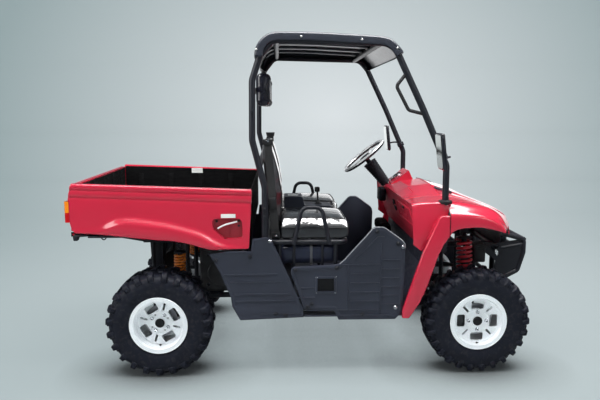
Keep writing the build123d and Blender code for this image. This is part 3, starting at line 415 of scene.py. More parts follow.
def emboss(tree, shader, *reliefs):
    """Bumps from (factor, strength, depth in metres) reliefs, one over the other."""
    normal = None
    for factor, strength, depth in reliefs:
        bump = tree.nodes.new("ShaderNodeBump")
        bump.inputs["Strength"].default_value = strength
        bump.inputs["Distance"].default_value = depth
        tree.links.new(factor, bump.inputs["Height"])
        if normal is not None:
            tree.links.new(normal, bump.inputs["Normal"])
        normal = bump.outputs["Normal"]
    tree.links.new(normal, shader.inputs["Normal"])


def tint(tree, shader, factor, first, second):
    """Base colour blended between two colours by the factor."""
    tree.links.new(blend_colours(tree, factor, first, second), shader.inputs["Base Color"])


def roughen(tree, shader, factor, low, high, start=0.0, end=1.0):
    """Roughness between two numbers by the factor."""
    tree.links.new(span(tree, factor, low, high, start, end), shader.inputs["Roughness"])


def shade(colour, amount):
    """The colour made lighter or darker."""
    return tuple(min(c * amount, 1.0) for c in colour)


def upward(tree, start=0.55, end=1.0):
    """How far a face looks up, where dust settles."""
    geometry = tree.nodes.new("ShaderNodeNewGeometry")
    parts = tree.nodes.new("ShaderNodeSeparateXYZ")
    tree.links.new(geometry.outputs["Normal"], parts.inputs["Vector"])
    return span(tree, parts.outputs["Z"], 0, 1, start, end)


def times(tree, first, second):
    """Product of two factors."""
    node = tree.nodes.new("ShaderNodeMath")
    node.operation = "MULTIPLY"
    tree.links.new(first, node.inputs[0])
    tree.links.new(second, node.inputs[1])
    return node.outputs["Value"]


def painted(name, colour, roughness, coat=0.4, metallic=0.0, peel=0.05, dust=0.0):
    """Paint or glossy moulded skin: faint cloudiness, orange peel and light dust."""
    material, tree, shader, place = start_finish(name, roughness, metallic, coat, 0.12)
    cloud = mottle(tree, place, 3.2, 3)
    tone = blend_colours(tree, cloud, shade(colour, 0.93), shade(colour, 1.07))
    if dust:
        settled = times(tree, upward(tree), span(tree, mottle(tree, place, 9, 6), 0, dust, 0.35, 0.7))
        tone = blend_colours(tree, settled, tone, (0.3, 0.28, 0.26))
    tree.links.new(tone, shader.inputs["Base Color"])
    scuffs = mottle(tree, shifted(tree, place, stretch=(1, 1, 2.5)), 26, 8, 0.4)
    roughen(tree, shader, scuffs, roughness * 0.94, roughness * 1.12, 0.3, 0.7)
    emboss(tree, shader, (mottle(tree, place, 190, 2), peel, 0.0006))
    return material


def moulded(name, colour, roughness, grain=620, depth=0.28, dust=0.12, shine=0.5):
    """Textured plastic: pebbled grain, rubbed lighter in places."""
    material, tree, shader, place = start_finish(name, roughness)
    cloud = mottle(tree, place, 5, 6, 0.3)
    tone = blend_colours(tree, cloud, shade(colour, 0.8), shade(colour, 1.25))
    settled = times(tree, upward(tree, 0.3), span(tree, mottle(tree, place, 14, 8), 0, dust, 0.4, 0.75))
    tone = blend_colours(tree, settled, tone, (0.2, 0.19, 0.18))
    tree.links.new(tone, shader.inputs["Base Color"])
    rub = mottle(tree, shifted(tree, place, stretch=(1, 1, 3)), 18, 8)
    roughen(tree, shader, rub, roughness * 0.82, roughness * 1.2, 0.3, 0.7)
    emboss(tree, shader, (pebbles(tree, place, grain), depth, 0.0004),
           (mottle(tree, place, 7, 2), 0.1, 0.004))
    shader.inputs["Specular IOR Level"].default_value = shine
    return material


def metal(name, colour, low, high, brushed=None, scale=90.0, strength=0.08):
    """Bare metal with brushing or casting marks and uneven shine."""
    material, tree, shader, place = start_finish(name, low, 1.0)
    stain = mottle(tree, place, 12, 6)
    tint(tree, shader, stain, shade(colour, 0.86), shade(colour, 1.06))
    streaks = mottle(tree, shifted(tree, place, stretch=brushed or (1, 1, 1)), scale, 6)
    roughen(tree, shader, streaks, low, high, 0.25, 0.75)
    emboss(tree, shader, (streaks, strength, 0.0008))
    return material


def turned_alloy(name, axle_x):
    """Bright machined alloy with turning rings about a wheel's axle."""
    material, tree, shader, place = start_finish(name, 0.26, 0.16, 0.35, 0.08)
    about = shifted(tree, place, (axle_x, 0, WHEEL_HEIGHT))
    rings = lines(tree, about, 95, rings=True, distortion=0.6)
    stain = mottle(tree, about, 9, 5)
    tint(tree, shader, stain, (0.84, 0.88, 0.93), (0.97, 0.985, 1.0))
    roughen(tree, shader, rings, 0.17, 0.34)
    emboss(tree, shader, (rings, 0.06, 0.0003), (mottle(tree, about, 120, 3), 0.03, 0.0005))
    return material


def tyre_rubber():
    """Blue-black rubber, dusty on the tread and finely ribbed on the walls."""
    material, tree, shader, place = start_finish("tyre_rubber", 0.62)
    shader.inputs["Specular IOR Level"].default_value = 0.25
    cloud = mottle(tree, place, 16, 8, 0.4)
    tone = blend_colours(tree, cloud, (0.0035, 0.0045, 0.010), (0.011, 0.013, 0.024))
    dust = span(tree, mottle(tree, place, 42, 10, 0.6), 0, 0.16, 0.5, 0.75)
    tint(tree, shader, dust, tone, (0.12, 0.11, 0.1))
    roughen(tree, shader, cloud, 0.42, 0.66)
    emboss(tree, shader, (mottle(tree, place, 380, 4), 0.2, 0.0006),
           (mottle(tree, place, 30, 3), 0.12, 0.002))
    return material


def seat_vinyl():
    """Black vinyl with fine leather grain and shallow creases."""
    material, tree, shader, place = start_finish("seat_vinyl", 0.34, 0.0, 1.0, 0.12)
    shader.inputs["Coat IOR"].default_value = 2.1
    cloud = mottle(tree, place, 6, 5)
    tint(tree, shader, cloud, (0.0075, 0.0075, 0.009), (0.017, 0.017, 0.02))
    roughen(tree, shader, mottle(tree, place, 22, 8), 0.26, 0.44, 0.3, 0.7)
    emboss(
        tree, shader,
        (pebbles(tree, place, 420), 0.3, 0.0005),
        (mottle(tree, shifted(tree, place, stretch=(1, 2.2, 1)), 15, 3, 1.2), 0.12, 0.004),
    )
    return material


def webbing():
    """Woven belt: fine ribs crossed by a looser weft."""
    material, tree, shader, place = start_finish("belt_webbing", 0.7)
    ribs = lines(tree, place, 260, "Z")
    weft = lines(tree, place, 150, "X")
    weave = times(tree, ribs, weft)
    tint(tree, shader, weave, (0.006, 0.006, 0.007), (0.034, 0.034, 0.038))
    shader.inputs["Sheen Weight"].default_value = 0.4
    emboss(tree, shader, (weave, 0.6, 0.0007))
    return material


def lens(name, colour, clear=0.0, ribs=0.0):
    """Moulded lamp lens, clear or coloured, with optional ribs."""
    material, tree, shader, place = start_finish(name, 0.06, 0.0, 0.6, 0.04)
    shader.inputs["Transmission Weight"].default_value = clear
    shader.inputs["IOR"].default_value = 1.47
    cloud = mottle(tree, place, 30, 3)
    tint(tree, shader, cloud, shade(colour, 0.92), shade(colour, 1.06))
    emboss(tree, shader, (lines(tree, place, 55, "Z"), max(ribs, 0.01), 0.0012))
    return material


def engine_casting():
    """Grey cast alloy with sand texture and oily stains."""
    material, tree, shader, place = start_finish("engine_casting", 0.5, 0.75)
    stain = mottle(tree, place, 11, 8, 0.5)
    tint(tree, shader, stain, (0.035, 0.035, 0.038), (0.17, 0.17, 0.175))
    roughen(tree, shader, stain, 0.35, 0.7)
    emboss(tree, shader, (mottle(tree, place, 420, 4), 0.35, 0.0008))
    return material


def ribbed_rubber(name, colour=(0.014, 0.014, 0.016), grain=500, dust=0.08, shine=0.5):
    """Soft black rubber for grips, boots and grommets."""
    return moulded(name, colour, 0.6, grain, 0.35, dust, shine)


FINISHES = {}


def finishes():
    """Every finish by name, made on first use."""
    if not FINISHES:
        colours = bpy.context.scene.vehicle_colours
        FINISHES.update(
            body=painted("body_red", colours.body, 0.24, 1.0, peel=0.012),
            # Painted shade: darker red for the floor and slot of the bed's latch pocket, where shade falls.
            pocket=painted("latch_pocket_shade", (0.3, 0.012, 0.025), 0.4, 0.3),
            moulding=moulded("dark_moulding", colours.moulding, 0.44),
            roof=painted("roof_shell", (0.026, 0.029, 0.04), 0.3, 0.35, peel=0.06),
            frame=painted("frame_powder_coat", (0.011, 0.012, 0.018), 0.4, 0.05, peel=0.1),
            liner=moulded("bed_liner", (0.0015, 0.0015, 0.002), 0.8, 420, 0.5, 0.02, 0.15),
            tyre=tyre_rubber(),
            rear_alloy=turned_alloy("rear_rim_alloy", REAR_AXLE),
            front_alloy=turned_alloy("front_rim_alloy", FRONT_AXLE),
            recess=moulded("wheel_recess", (0.006, 0.006, 0.007), 0.55),
            vinyl=seat_vinyl(),
            gloss_vinyl=painted("gloss_vinyl", (0.012, 0.012, 0.02), 0.22, 0.5, peel=0.12),
            gloss_grip=painted("gloss_plastic", (0.015, 0.016, 0.022), 0.22, 0.5, peel=0.04),
            inner_red=painted("inner_red", shade(colours.body, 1.12), 0.5, 0.0, peel=0.04),
            # Painted highlight: pale grey for the strip along the guards' top edge, where light catches it.
            edge_trim=painted("edge_trim", (0.3, 0.31, 0.33), 0.25, 0.4, peel=0.04),
            tank=painted("tank_plastic", (0.034, 0.04, 0.078), 0.3, 0.35, peel=0.06),
            piping=moulded("seat_piping", (0.012, 0.012, 0.014), 0.42, 700, 0.15),
            webbing=webbing(),
            grip=ribbed_rubber("grip_rubber"),
            boot=ribbed_rubber("boot_rubber", (0.006, 0.0065, 0.011), 500, 0.01, 0.25),
            zinc=metal("zinc_plate", (0.62, 0.62, 0.6), 0.26, 0.46),
            steel=metal("brushed_steel", (0.5, 0.5, 0.52), 0.28, 0.5, (1, 0.1, 1)),
            chrome=metal("chrome", (0.82, 0.83, 0.85), 0.05, 0.14, strength=0.02),
            exhaust=metal("exhaust_steel", (0.07, 0.065, 0.062), 0.4, 0.65, (0.3, 1, 1), 40),
            casting=engine_casting(),
            rear_spring=painted("rear_spring_paint", colours.rear_spring, 0.34, 0.3, peel=0.1, dust=0.15),
            front_spring=painted("front_spring_paint", colours.front_spring, 0.32, 0.3, peel=0.1, dust=0.1),
            clear=lens("clear_lens", (0.93, 0.95, 0.97), 0.9, 0.12),
            amber=lens("amber_lens", (0.86, 0.24, 0.012), 0.0, 0.35),
            red_lens=lens("red_lens", (0.5, 0.006, 0.01), 0.0, 0.35),
            reflector=metal("lamp_reflector", (0.8, 0.8, 0.82), 0.08, 0.2),
            mirror=metal("mirror_glass", (0.42, 0.47, 0.46), 0.05, 0.12, strength=0.004),
            label=painted("blank_label", (0.72, 0.72, 0.7), 0.4, 0.2, peel=0.02),
            gauge=painted("gauge_face", (0.012, 0.012, 0.014), 0.25, 0.8, peel=0.02),
            marks=painted("gauge_marks", (0.75, 0.75, 0.72), 0.5, 0.0),
            # Pale silver paint; on the steering wheel it paints in the rim's and spokes' highlights.
            silver=painted("silver_paint", (0.78, 0.79, 0.8), 0.3, 0.4, 0.3, 0.05),
        )
    return FINISHES


CAD_FINISHES = {
    "body": "bonnet cowl_and_instrument_pod cowl_side_right cowl_side_left front_fenders"
            " bed_side_right bed_side_left tailgate",
    "inner_red": "dash_panel glove_box_door",
    "moulding": "centre_console floor_pan front_grille fuel_tank mirrors rear_side_panels"
                " side_guard_right side_guard_left",
    "roof": "roof_panel",
    "frame": "cage_cross_bars cage_side_right cage_side_left centre_frame front_bumper front_frame"
             " front_suspension_arms hip_bars rear_frame rear_suspension_arms seat_frame",
    "liner": "bed_floor",
    "tyre": "front_tyre_right front_tyre_left rear_tyre_right rear_tyre_left",
    "rear_alloy": "rear_rim_right rear_rim_left",
    "front_alloy": "front_rim_right front_rim_left",
    "vinyl": "headrests seat_back_right seat_back_left seat_cushion_right seat_cushion_left",
    "webbing": "seat_belts",
    "grip": "grab_handle shift_lever steering_wheel",
    "boot": "steering_column",
    "steel": "drive_line front_knuckle_right front_knuckle_left",
    "exhaust": "muffler",
    "casting": "engine_block",
    "rear_spring": "rear_coil_shocks",
    "front_spring": "front_coil_shocks",
    "clear": "headlamps",
    "amber": "indicator_lamps",
    "red_lens": "tail_lamps",
}


class VEHICLE_OT_finish_frame(bpy.types.Operator):
    """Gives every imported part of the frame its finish"""

    bl_idname = "vehicle.finish_frame"
    bl_label = "Finish the frame parts"

    def execute(self, context):
        for finish, names in CAD_FINISHES.items():
            for name in names.split():
                for material_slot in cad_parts[name].material_slots:
                    material_slot.material = finishes()[finish]
        return {"FINISHED"}


# ------------------------------------------------------------------ tyres and wheels
WHEELS = {
    "rear": {"axle": REAR_AXLE, "half": 0.127, "lip": 0.118, "face": 0.061, "turn": 30},
    "front": {"axle": FRONT_AXLE, "half": 0.1015, "lip": 0.0925, "face": 0.0645, "turn": 0},
}


def wheel_spot(end, side):
    """Middle of a wheel."""
    return Vector((WHEELS[end]["axle"], side * (WHEEL_FACE - WHEELS[end]["half"]), WHEEL_HEIGHT))


def round_wheel(obj, spot, count, start=0.0):
    """Copies of a piece modelled above the axle, spread round a wheel."""
    return copies(obj, [
        Matrix.Translation(spot) @ Matrix.Rotation(radians(start) + 2 * pi * i / count, 4, "Y")
        for i in range(count)
    ])


def shoulder_lug(half, wide, out):
    """Shoulder block that wraps from the tread down the sidewall, above the axle."""
    top = [(0.3145, 0.43), (0.3148, 0.70), (0.3085, 0.89), (0.2925, 0.985), (0.281, 0.998), (0.264, 0.985)]
    root = [(0.264, 0.94), (0.277, 0.90), (0.2905, 0.78), (0.298, 0.55), (0.2995, 0.43)]
    outline = [(-wide / 2, out * along * half, radius) for radius, along in top + root]
    lug = chain(outline, filled=True)
    edit(lug)
    for _ in range(2):
        bpy.ops.mesh.extrude_region_move(TRANSFORM_OT_translate={"value": (wide / 2, 0, 0)})
    close_edit()
    for vertex in lug.data.vertices:
        if vertex.co.z > 0.301 or abs(vertex.co.y) > 0.966 * half:
            vertex.co.x *= 0.74
        vertex.co.x += (abs(vertex.co.y) / half - 0.7) * 0.016
    return soften(lug, 0.0022, 1, 40)


def centre_lug(half, long, out):
    """Slanting block of the middle tread, above the axle."""
    near, far = 0.04 * half * out, 0.5 * half * out
    outline = [(-0.024, near, 0.294), (-0.002, far, 0.294), (long - 0.002, far, 0.294),
               (long - 0.024, near, 0.294)]
    lug = plate(outline, (0, 0, 0.0208))
    for vertex in lug.data.vertices:
        if vertex.co.z > 0.31:
            vertex.co.x = (vertex.co.x - long / 2 + 0.012) * 0.86 + long / 2 - 0.012
    return soften(lug, 0.002, 1, 40)


def tyre(end, side):
    """Carcass with bead, shoulders and tread lugs."""
    data, lugs = WHEELS[end], bpy.context.scene.vehicle_sizes
    half, spot = data["half"], wheel_spot(end, side)
    count = lugs.rear_lugs if end == "rear" else lugs.front_lugs
    wall = [(0.1535, 0.85), (0.166, 0.872), (0.1745, 0.885), (0.1775, 0.905), (0.1815, 0.915), (0.185, 0.912),
            (0.19, 0.93), (0.204, 0.965), (0.222, 0.982), (0.242, 0.984), (0.262, 0.962), (0.279, 0.915),
            (0.291, 0.815), (0.2975, 0.66), (0.3008, 0.4), (0.302, 0.15)]
    outline = [(radius, along * half) for radius, along in wall]
    outline += [(radius, -along) for radius, along in reversed(outline)]
    carcass = turned(outline, spot, Y, 72, 45)
    pitch = 360 / count
    wide = 2 * pi * 0.3 / count
    pieces = [carcass]
    for out, start in ((1, 0), (-1, pitch / 2)):
        pieces.append(round_wheel(shoulder_lug(half, wide * 0.5, out), spot, count, start))
        pieces.append(round_wheel(centre_lug(half, wide * 0.42, out), spot, count, start + pitch * 0.55))
    return merge(*pieces)


def wheel_trim(end, side):
    """Rolled lip, step ring, hub ring, centre cap, wheel nuts, valve and brake disc of one wheel."""
    data, spot = WHEELS[end], wheel_spot(end, side)
    lip, face, axis = data["lip"], data["face"], Y * side
    name = f"{end}_wheel"
    tail = "right" if side < 0 else "left"
    body = f"wheel_{end}_{tail}"
    rolled = turned([(0.1655, lip - 0.004), (0.1672, lip + 0.0012), (0.1695, lip + 0.0018),
                     (0.1712, lip - 0.0004), (0.1712, lip - 0.0055), (0.1655, lip - 0.0055)], spot, axis, 72)
    step = turned([(0.1472, face + 0.026), (0.1455, face + 0.0245), (0.1425, face + 0.0115),
                   (0.1385, face + 0.0055), (0.131, face + 0.0032), (0.1298, face - 0.001),
                   (0.1472, face - 0.001)], spot, axis, 72)
    hub = turned([(0.0725, face - 0.001), (0.0718, face + 0.0022), (0.0695, face + 0.003),
                  (0.067, face + 0.0022), (0.0662, face - 0.001)], spot, axis, 60)
    collar = turned([(0.033, face - 0.001), (0.0325, face + 0.006), (0.0295, face + 0.0075),
                     (0.028, face + 0.006), (0.028, face - 0.001)], spot, axis, 40)
    present(merge(rolled, step, hub, collar), f"{name}_rings_{tail}", body, f"{end}_alloy")
    cap = turned([(0, face - 0.002), (0.0282, face - 0.002), (0.0282, face + 0.009), (0.0265, face + 0.0125),
                  (0.021, face + 0.0145), (0.0195, face + 0.0135), (0, face + 0.0138)], spot, axis, 40)
    valve = turned([(0, 0), (0.0055, 0), (0.005, 0.008), (0.0036, 0.011), (0.0036, 0.026), (0.003, 0.0275),
                    (0, 0.0275)], (0, 0, 0), Z, 12)
    valve = copies(valve, [facing(spot + axis * (face + 0.006) - Z * 0.1355, axis * 0.94 + Z * 0.35)])
    present(merge(cap, valve), f"{name}_cap_{tail}", body, "recess")
    nut = turned([(0, 0), (0.0125, 0), (0.0125, 0.002), (0.0098, 0.0034), (0.0088, 0.0036), (0.0078, 0.015),
                  (0.005, 0.0178), (0, 0.0182)], (0, 0, 0), Z, 6, 20)
    places = []
    for i in range(4):
        angle = radians(data["turn"]) + pi / 2 * i
        ray = X * sin(angle) + Z * cos(angle)
        places.append(facing(spot + axis * face + ray * 0.054, axis))
    present(soften(copies(nut, places), 0.0008, 1), f"{name}_nuts_{tail}", body, "chrome")
    disc = turned([(0.0425, face - 0.042), (0.098, face - 0.042), (0.0995, face - 0.0405),
                   (0.0995, face - 0.0375), (0.098, face - 0.036), (0.072, face - 0.036),
                   (0.07, face - 0.030), (0.0425, face - 0.03)], spot, axis, 60)
    present(disc, f"{name}_brake_disc_{tail}", body, "steel")


class VEHICLE_OT_tyres(bpy.types.Operator):
    """Models the four lugged tyres"""

    bl_idname = "vehicle.tyres"
    bl_label = "Tyres"

    def execute(self, context):
        for end in WHEELS:
            for tail, side in SIDES:
                present(tyre(end, side), f"{end}_lugged_tyre_{tail}", f"wheel_{end}_{tail}",
                        "tyre", [f"{end}_tyre_{tail}"])
        return {"FINISHED"}


class VEHICLE_OT_wheels(bpy.types.Operator):
    """Adds the rims' rings, caps, nuts, valves and brakes"""

    bl_idname = "vehicle.wheels"
    bl_label = "Wheel trim"

    def execute(self, context):
        for end in WHEELS:
            for tail, side in SIDES:
                wheel_trim(end, side)
        for tail, side in SIDES:
            low = Vector((FRONT_AXLE - 0.112, side * 0.607 - 0.02, 0.27))
            caliper = block(low, low + Vector((0.048, 0.04, 0.09)), 0.008, 3)
            present(caliper, f"brake_caliper_{tail}", f"knuckle_{tail}", "casting")
        return {"FINISHED"}


# ------------------------------------------------------------------ springs
def coil(radius, wire, turns, length, squash=1.0):
    """Spring of round wire round the Z axis, from the origin up, with closed ends."""
    clear_selection()
    bpy.ops.mesh.primitive_circle_add(vertices=10, radius=wire / 2, location=(radius, 0, wire / 2),
                                      rotation=(pi / 2, 0, 0))
    ring = settle(bpy.context.object)
    for vertex in ring.data.vertices:
        vertex.co.z = wire / 2 + (vertex.co.z - wire / 2) * squash
    shape(ring, "SCREW", angle=2 * pi, iterations=turns, steps=22, render_steps=22,
          screw_offset=(length - wire) / turns, axis="Z")
    edit(ring)
    bpy.ops.mesh.select_all(action="DESELECT")
    bpy.ops.mesh.select_non_manifold()
    bpy.ops.mesh.edge_face_add()
    close_edit()
    return smooth(ring, 60)


def shock(name, top, foot, coil_radius, rod, wire, turns, finish, pipe_radius):
    """Damper and coil spring between two pins, on both sides of the vehicle."""
    top, foot = Vector(top), Vector(foot)
    length, lean = (top - foot).length, facing(foot, top - foot)
    low, high = 0.066, length - 0.044
    spring = coil(coil_radius - wire / 2, wire, turns, high - low - 0.01, 1.15)
    spring.data.transform(Matrix.Translation((0, 0, low + 0.005)))
    spring = both_sides(copies(spring, [lean]))
    perch = [(0, low - 0.012), (coil_radius * 0.55, low - 0.012), (coil_radius * 0.98, low - 0.004),
             (coil_radius * 0.98, low + 0.004), (coil_radius * 0.72, low + 0.007), (0, low + 0.007)]
    crown = [(radius, low + high - along) for radius, along in perch]
    damper = turned([(0, 0.012), (rod * 0.9, 0.012), (rod * 0.9, low + 0.01), (pipe_radius, low + 0.012),
                     (pipe_radius, length * 0.55), (pipe_radius * 0.84, length * 0.56),
                     (rod * 0.62, length * 0.565), (rod * 0.62, high - 0.03), (rod * 1.2, high - 0.026),
                     (rod * 1.3, high), (rod * 0.8, length - 0.014), (0, length - 0.014)], (0, 0, 0), Z, 28)
    ends = [turned([(0.009, -0.0185), (0.0165, -0.0185), (0.0178, -0.016), (0.0178, 0.016), (0.0165, 0.0185),
                    (0.009, 0.0185)], (0, 0, along), X, 28) for along in (0, length)]
    rest = merge(damper, turned(perch, (0, 0, 0), Z, 40), turned(crown, (0, 0, 0), Z, 40), *ends)
    rest = both_sides(copies(rest, [lean]))
    present(spring, f"{name}_springs", "chassis", finish, [f"{name}_coil_shocks"])
    present(rest, f"{name}_dampers", "chassis", "frame")


class VEHICLE_OT_springs(bpy.types.Operator):
    """Models the four coil springs over their dampers"""

    bl_idname = "vehicle.springs"
    bl_label = "Springs"

    def execute(self, context):
        wire = context.scene.vehicle_sizes.coil_wire
        shock("front", (1.004, -0.318, 0.8), (1.0, -0.372, 0.439), 0.052, 0.014, wire * 1.25, 8,
              "front_spring", 0.026)
        shock("rear", (-0.814, -0.352, 0.728), (-0.8216, -0.352, 0.4337), 0.0385, 0.012, wire, 9,
              "rear_spring", 0.02)
        return {"FINISHED"}


# ------------------------------------------------------------------ body skins
def level(line, x):
    """Height of a side-view line at a distance along the vehicle."""
    if x <= line[0][0]:
        return line[0][1]
    for (x0, z0), (x1, z1) in zip(line, line[1:]):
        if x <= x1:
            return z0 + (z1 - z0) * (x - x0) / (x1 - x0)
    return line[-1][1]


def mix(first, second, share, drop=0.0):
    """Line between two lines, lowered by the drop."""
    return [(a + (c - a) * share, b + (d - b) * share - drop) for (a, b), (c, d) in zip(first, second)]


def mm(points, x_from=0.0):
    """Side-view points given in millimetres from a station."""
    return [((x_from + x) / 1000, z / 1000) for x, z in points]


def ahead(points):
    """Side-view points given in millimetres from the front axle."""
    return mm(points, FRONT_AXLE * 1000)


def net(rows, outside=None, smoothing=2, wall=0.0):
    """Smooth net of faces through rows of points, closed at its ends unless it is a sheet with a wall."""
    clear_selection()
    bpy.ops.mesh.primitive_grid_add(
        x_subdivisions=len(rows[0]) - 1, y_subdivisions=len(rows) - 1, location=(0, 0, 0)
    )
    obj = bpy.context.object
    for vertex, point in zip(obj.data.vertices, [point for row in rows for point in row]):
        vertex.co = point
    edit(obj)
    if wall:
        close_edit(outward=False)
        total = sum((f.normal * f.area for f in obj.data.polygons), Vector())
        if total.dot(Vector(outside)) < 0:
            edit(obj)
            bpy.ops.mesh.flip_normals()
            bpy.ops.object.mode_set(mode="OBJECT")
    else:
        bpy.ops.mesh.remove_doubles(threshold=MERGE_GAP)
        bpy.ops.mesh.fill_holes(sides=0)
        close_edit()
    if smoothing:
        shape(obj, "SUBSURF", levels=smoothing, render_levels=smoothing)
    if wall:
        shape(obj, "SOLIDIFY", thickness=wall, offset=-1)
    return smooth(obj, 40)


def cut(obj, *tools):
    """Takes the tools out of the piece."""
    for tool in tools:
        shape(obj, "BOOLEAN", operation="DIFFERENCE", solver="EXACT", object=tool)
        bpy.data.objects.remove(tool)
    return obj


BONNET_CENTRE = ahead([(-190, 1092), (-124, 1068), (-50, 1042), (56, 1001), (200, 946), (300, 906),
                       (346, 878), (352, 800)])
BONNET_MID = ahead([(-190, 1086), (-124, 1064), (-50, 1040), (56, 998), (195, 944), (285, 902), (325, 870),
                    (330, 800)])
BONNET_EDGE = ahead([(-190, 1050), (-124, 1042), (-50, 1030), (56, 1004), (140, 968), (210, 922), (248, 876),
                     (256, 800)])
FENDER_ARCH = ahead([(-190, 838), (-174, 872), (-109, 886), (-50, 889), (3, 890), (80, 872), (136, 856)])
FENDER_CREASE = ahead([(-190, 962), (-124, 964), (-50, 962), (20, 952), (80, 926), (118, 896), (136, 868)])
FENDER_STEP = ahead([(-190, 992), (-124, 990), (-50, 984), (30, 968), (90, 944), (130, 912), (150, 872)])
FENDER_EDGE = ahead([(-190, 1034), (-124, 1026), (-50, 1014), (40, 1000), (100, 980), (150, 934), (178, 876)])
FENDER_INNER = ahead([(-190, 1050), (-124, 1042), (-50, 1030), (56, 1004), (140, 968), (210, 922),
                      (244, 876)])
LEG_OUTER = ahead([(-462, 345), (-459, 400), (-346, 748), (-258, 946), (-240, 960)])
LEG_INNER = ahead([(-192.6, 962), (-192.6, 838), (-227, 787), (-253, 730), (-313, 548), (-357, 441),
                   (-419, 345)])


def bonnet():
    """Smooth bonnet with a raised middle and rolled edges."""
    half = [
        (0.4265, mix(BONNET_EDGE, BONNET_EDGE, 0, 0.009)), (0.428, mix(BONNET_EDGE, BONNET_EDGE, 0, 0.003)),
        (0.422, BONNET_EDGE), (0.4, mix(BONNET_MID, BONNET_EDGE, 0.87)),
        (0.33, mix(BONNET_MID, BONNET_EDGE, 0.55, 0.003)), (0.25, mix(BONNET_MID, BONNET_EDGE, 0.2, 0.007)),
        (0.232, mix(BONNET_MID, BONNET_EDGE, 0.12, 0.008)),
        (0.218, mix(BONNET_MID, BONNET_EDGE, 0.06, 0.004)), (0.204, BONNET_MID),
        (0.188, mix(BONNET_CENTRE, BONNET_MID, 0.9)), (0.1, mix(BONNET_CENTRE, BONNET_MID, 0.4)),
    ]
    rows = [row_at(-y, line) for y, line in half] + [row_at(0, BONNET_CENTRE)]
    rows += [row_at(y, line) for y, line in reversed(half)]
    return net(rows, Z, 2, 0.004)


def fender():
    """Front wheel arch with a rolled lip and a soft shoulder."""
    rows = [
        row_at(-0.664, mix(FENDER_ARCH, FENDER_ARCH, 0, -0.003)), row_at(-0.686, FENDER_ARCH),
        row_at(-0.69, mix(FENDER_ARCH, FENDER_CREASE, 0.1)),
        row_at(-0.69, mix(FENDER_ARCH, FENDER_CREASE, 0.8)), row_at(-0.6865, FENDER_CREASE),
        row_at(-0.671, mix(FENDER_CREASE, FENDER_STEP, 0.6)), row_at(-0.652, FENDER_STEP),
        row_at(-0.63, mix(FENDER_STEP, FENDER_EDGE, 0.6)), row_at(-0.6, FENDER_EDGE),
        row_at(-0.53, mix(FENDER_EDGE, FENDER_INNER, 0.5)), row_at(-0.44, FENDER_INNER),
        row_at(-0.4295, mix(FENDER_INNER, FENDER_INNER, 0, 0.002)),
        row_at(-0.429, mix(FENDER_INNER, FENDER_INNER, 0, 0.009)),
    ]
    return both_sides(net(rows, (0, -1, 1), 2, 0.004))


def cowl_side():
    """Side of the cowl with its rounded top and the flare that runs down to the floor."""
    top = mm([(588, 1022), (610, 1030), (665, 1035), (720, 1037), (778, 1038), (807.4, 1034)])
    crown = mm([(588, 1022), (640, 1034), (680, 1041), (720, 1046), (770, 1049), (807.4, 1050)])
    rows = [
        row_at(-0.646, mix(top, top, 0, 0.03)), row_at(-0.646, mix(top, top, 0, 0.016)),
        row_at(-0.641, mix(top, top, 0, 0.006)), row_at(-0.628, mix(top, top, 0, 0.001)), row_at(-0.6, top),
        row_at(-0.52, mix(top, crown, 0.55)), row_at(-0.434, crown),
        row_at(-0.429, mix(crown, crown, 0, 0.002)), row_at(-0.4288, mix(crown, crown, 0, 0.01)),
    ]
    roof = net(rows, (0, -1, 1), 2, 0.005)
    outline = mm([(588, 1002), (610, 1012), (778, 1018), (807.4, 1014), (807.4, 900), (700, 800), (654, 744),
                  (665, 733), (601, 782), (603, 809)])
    panel = plate(row_at(-0.646, outline), (0, 0.005, 0), 0.0018, 2)
    flare = plate(row_at(-0.69, LEG_OUTER + LEG_INNER), (0, 0.033, 0), 0.0095, 4)
    head = ahead([(-322, 816), (-257, 944), (-240, 957), (-195, 959), (-195, 840), (-209, 816)])
    neck = plate(row_at(-0.661, head), (0, 0.021, 0), 0.002, 2)
    hole = turned([(0, 0.68), (0.0215, 0.68), (0.0215, 1.1), (0, 1.1)], (0.789, -0.625, 0), Z, 32)
    return merge(cut(roof, hole), panel, flare, neck)


class VEHICLE_OT_front_body(bpy.types.Operator):
    """Models the bonnet, the front wheel arches, the flares and their fittings"""

    bl_idname = "vehicle.front_body"
    bl_label = "Front body"

    def execute(self, context):
        present(bonnet(), "bonnet_skin", "chassis", "body", ["bonnet"])
        present(fender(), "front_wheel_arches", "chassis", "body", ["front_fenders"])
        right = cowl_side()
        left = reflected(right)
        present(right, "cowl_flare_right", "chassis", "body", ["cowl_side_right"])
        present(smooth(left, 40), "cowl_flare_left", "chassis", "body", ["cowl_side_left"])
        grommet = turned([(0.0205, -0.012), (0.031, -0.012), (0.0335, -0.002), (0.0325, 0.006),
                          (0.027, 0.0095), (0.0215, 0.009), (0.0205, 0.004)], (0, 0, 0), Z, 36)
        oval = Matrix.Diagonal((1.2, 1.05, 1, 1))
        grommet = copies(grommet, [Matrix.Translation((0.7895, -0.625, 1.036)) @ oval])
        present(both_sides(grommet), "pillar_grommets", "chassis", "grip")
        line = [(-0.43, 1.024), (-0.53, 1.016), (-0.6, 1.004), (-0.645, 0.966), (-0.679, 0.95), (-0.68, 0.85)]
        backing = pipe([(0.8087, y, z) for y, z in line], 0.0065, 2, False, 2)
        present(both_sides(backing), "seam_backing", "chassis", "recess")
        vent = block((-0.056, -0.028, -0.006), (0.056, 0.028, 0.011), 0.005, 3)
        cut(vent, *[block((-0.046, y - 0.0032, 0.006), (0.046, y + 0.0032, 0.02))
                    for y in (-0.02, -0.01, 0.0, 0.01, 0.02)])
        spots = [Matrix.Translation((0.87, y, 1.0545)) @ Matrix.Rotation(radians(15.8), 4, "Y")
                 for y in (-0.262, 0.262)]
        present(smooth(copies(vent, spots), 30), "bonnet_vents", "chassis", "moulding")
        return {"FINISHED"}


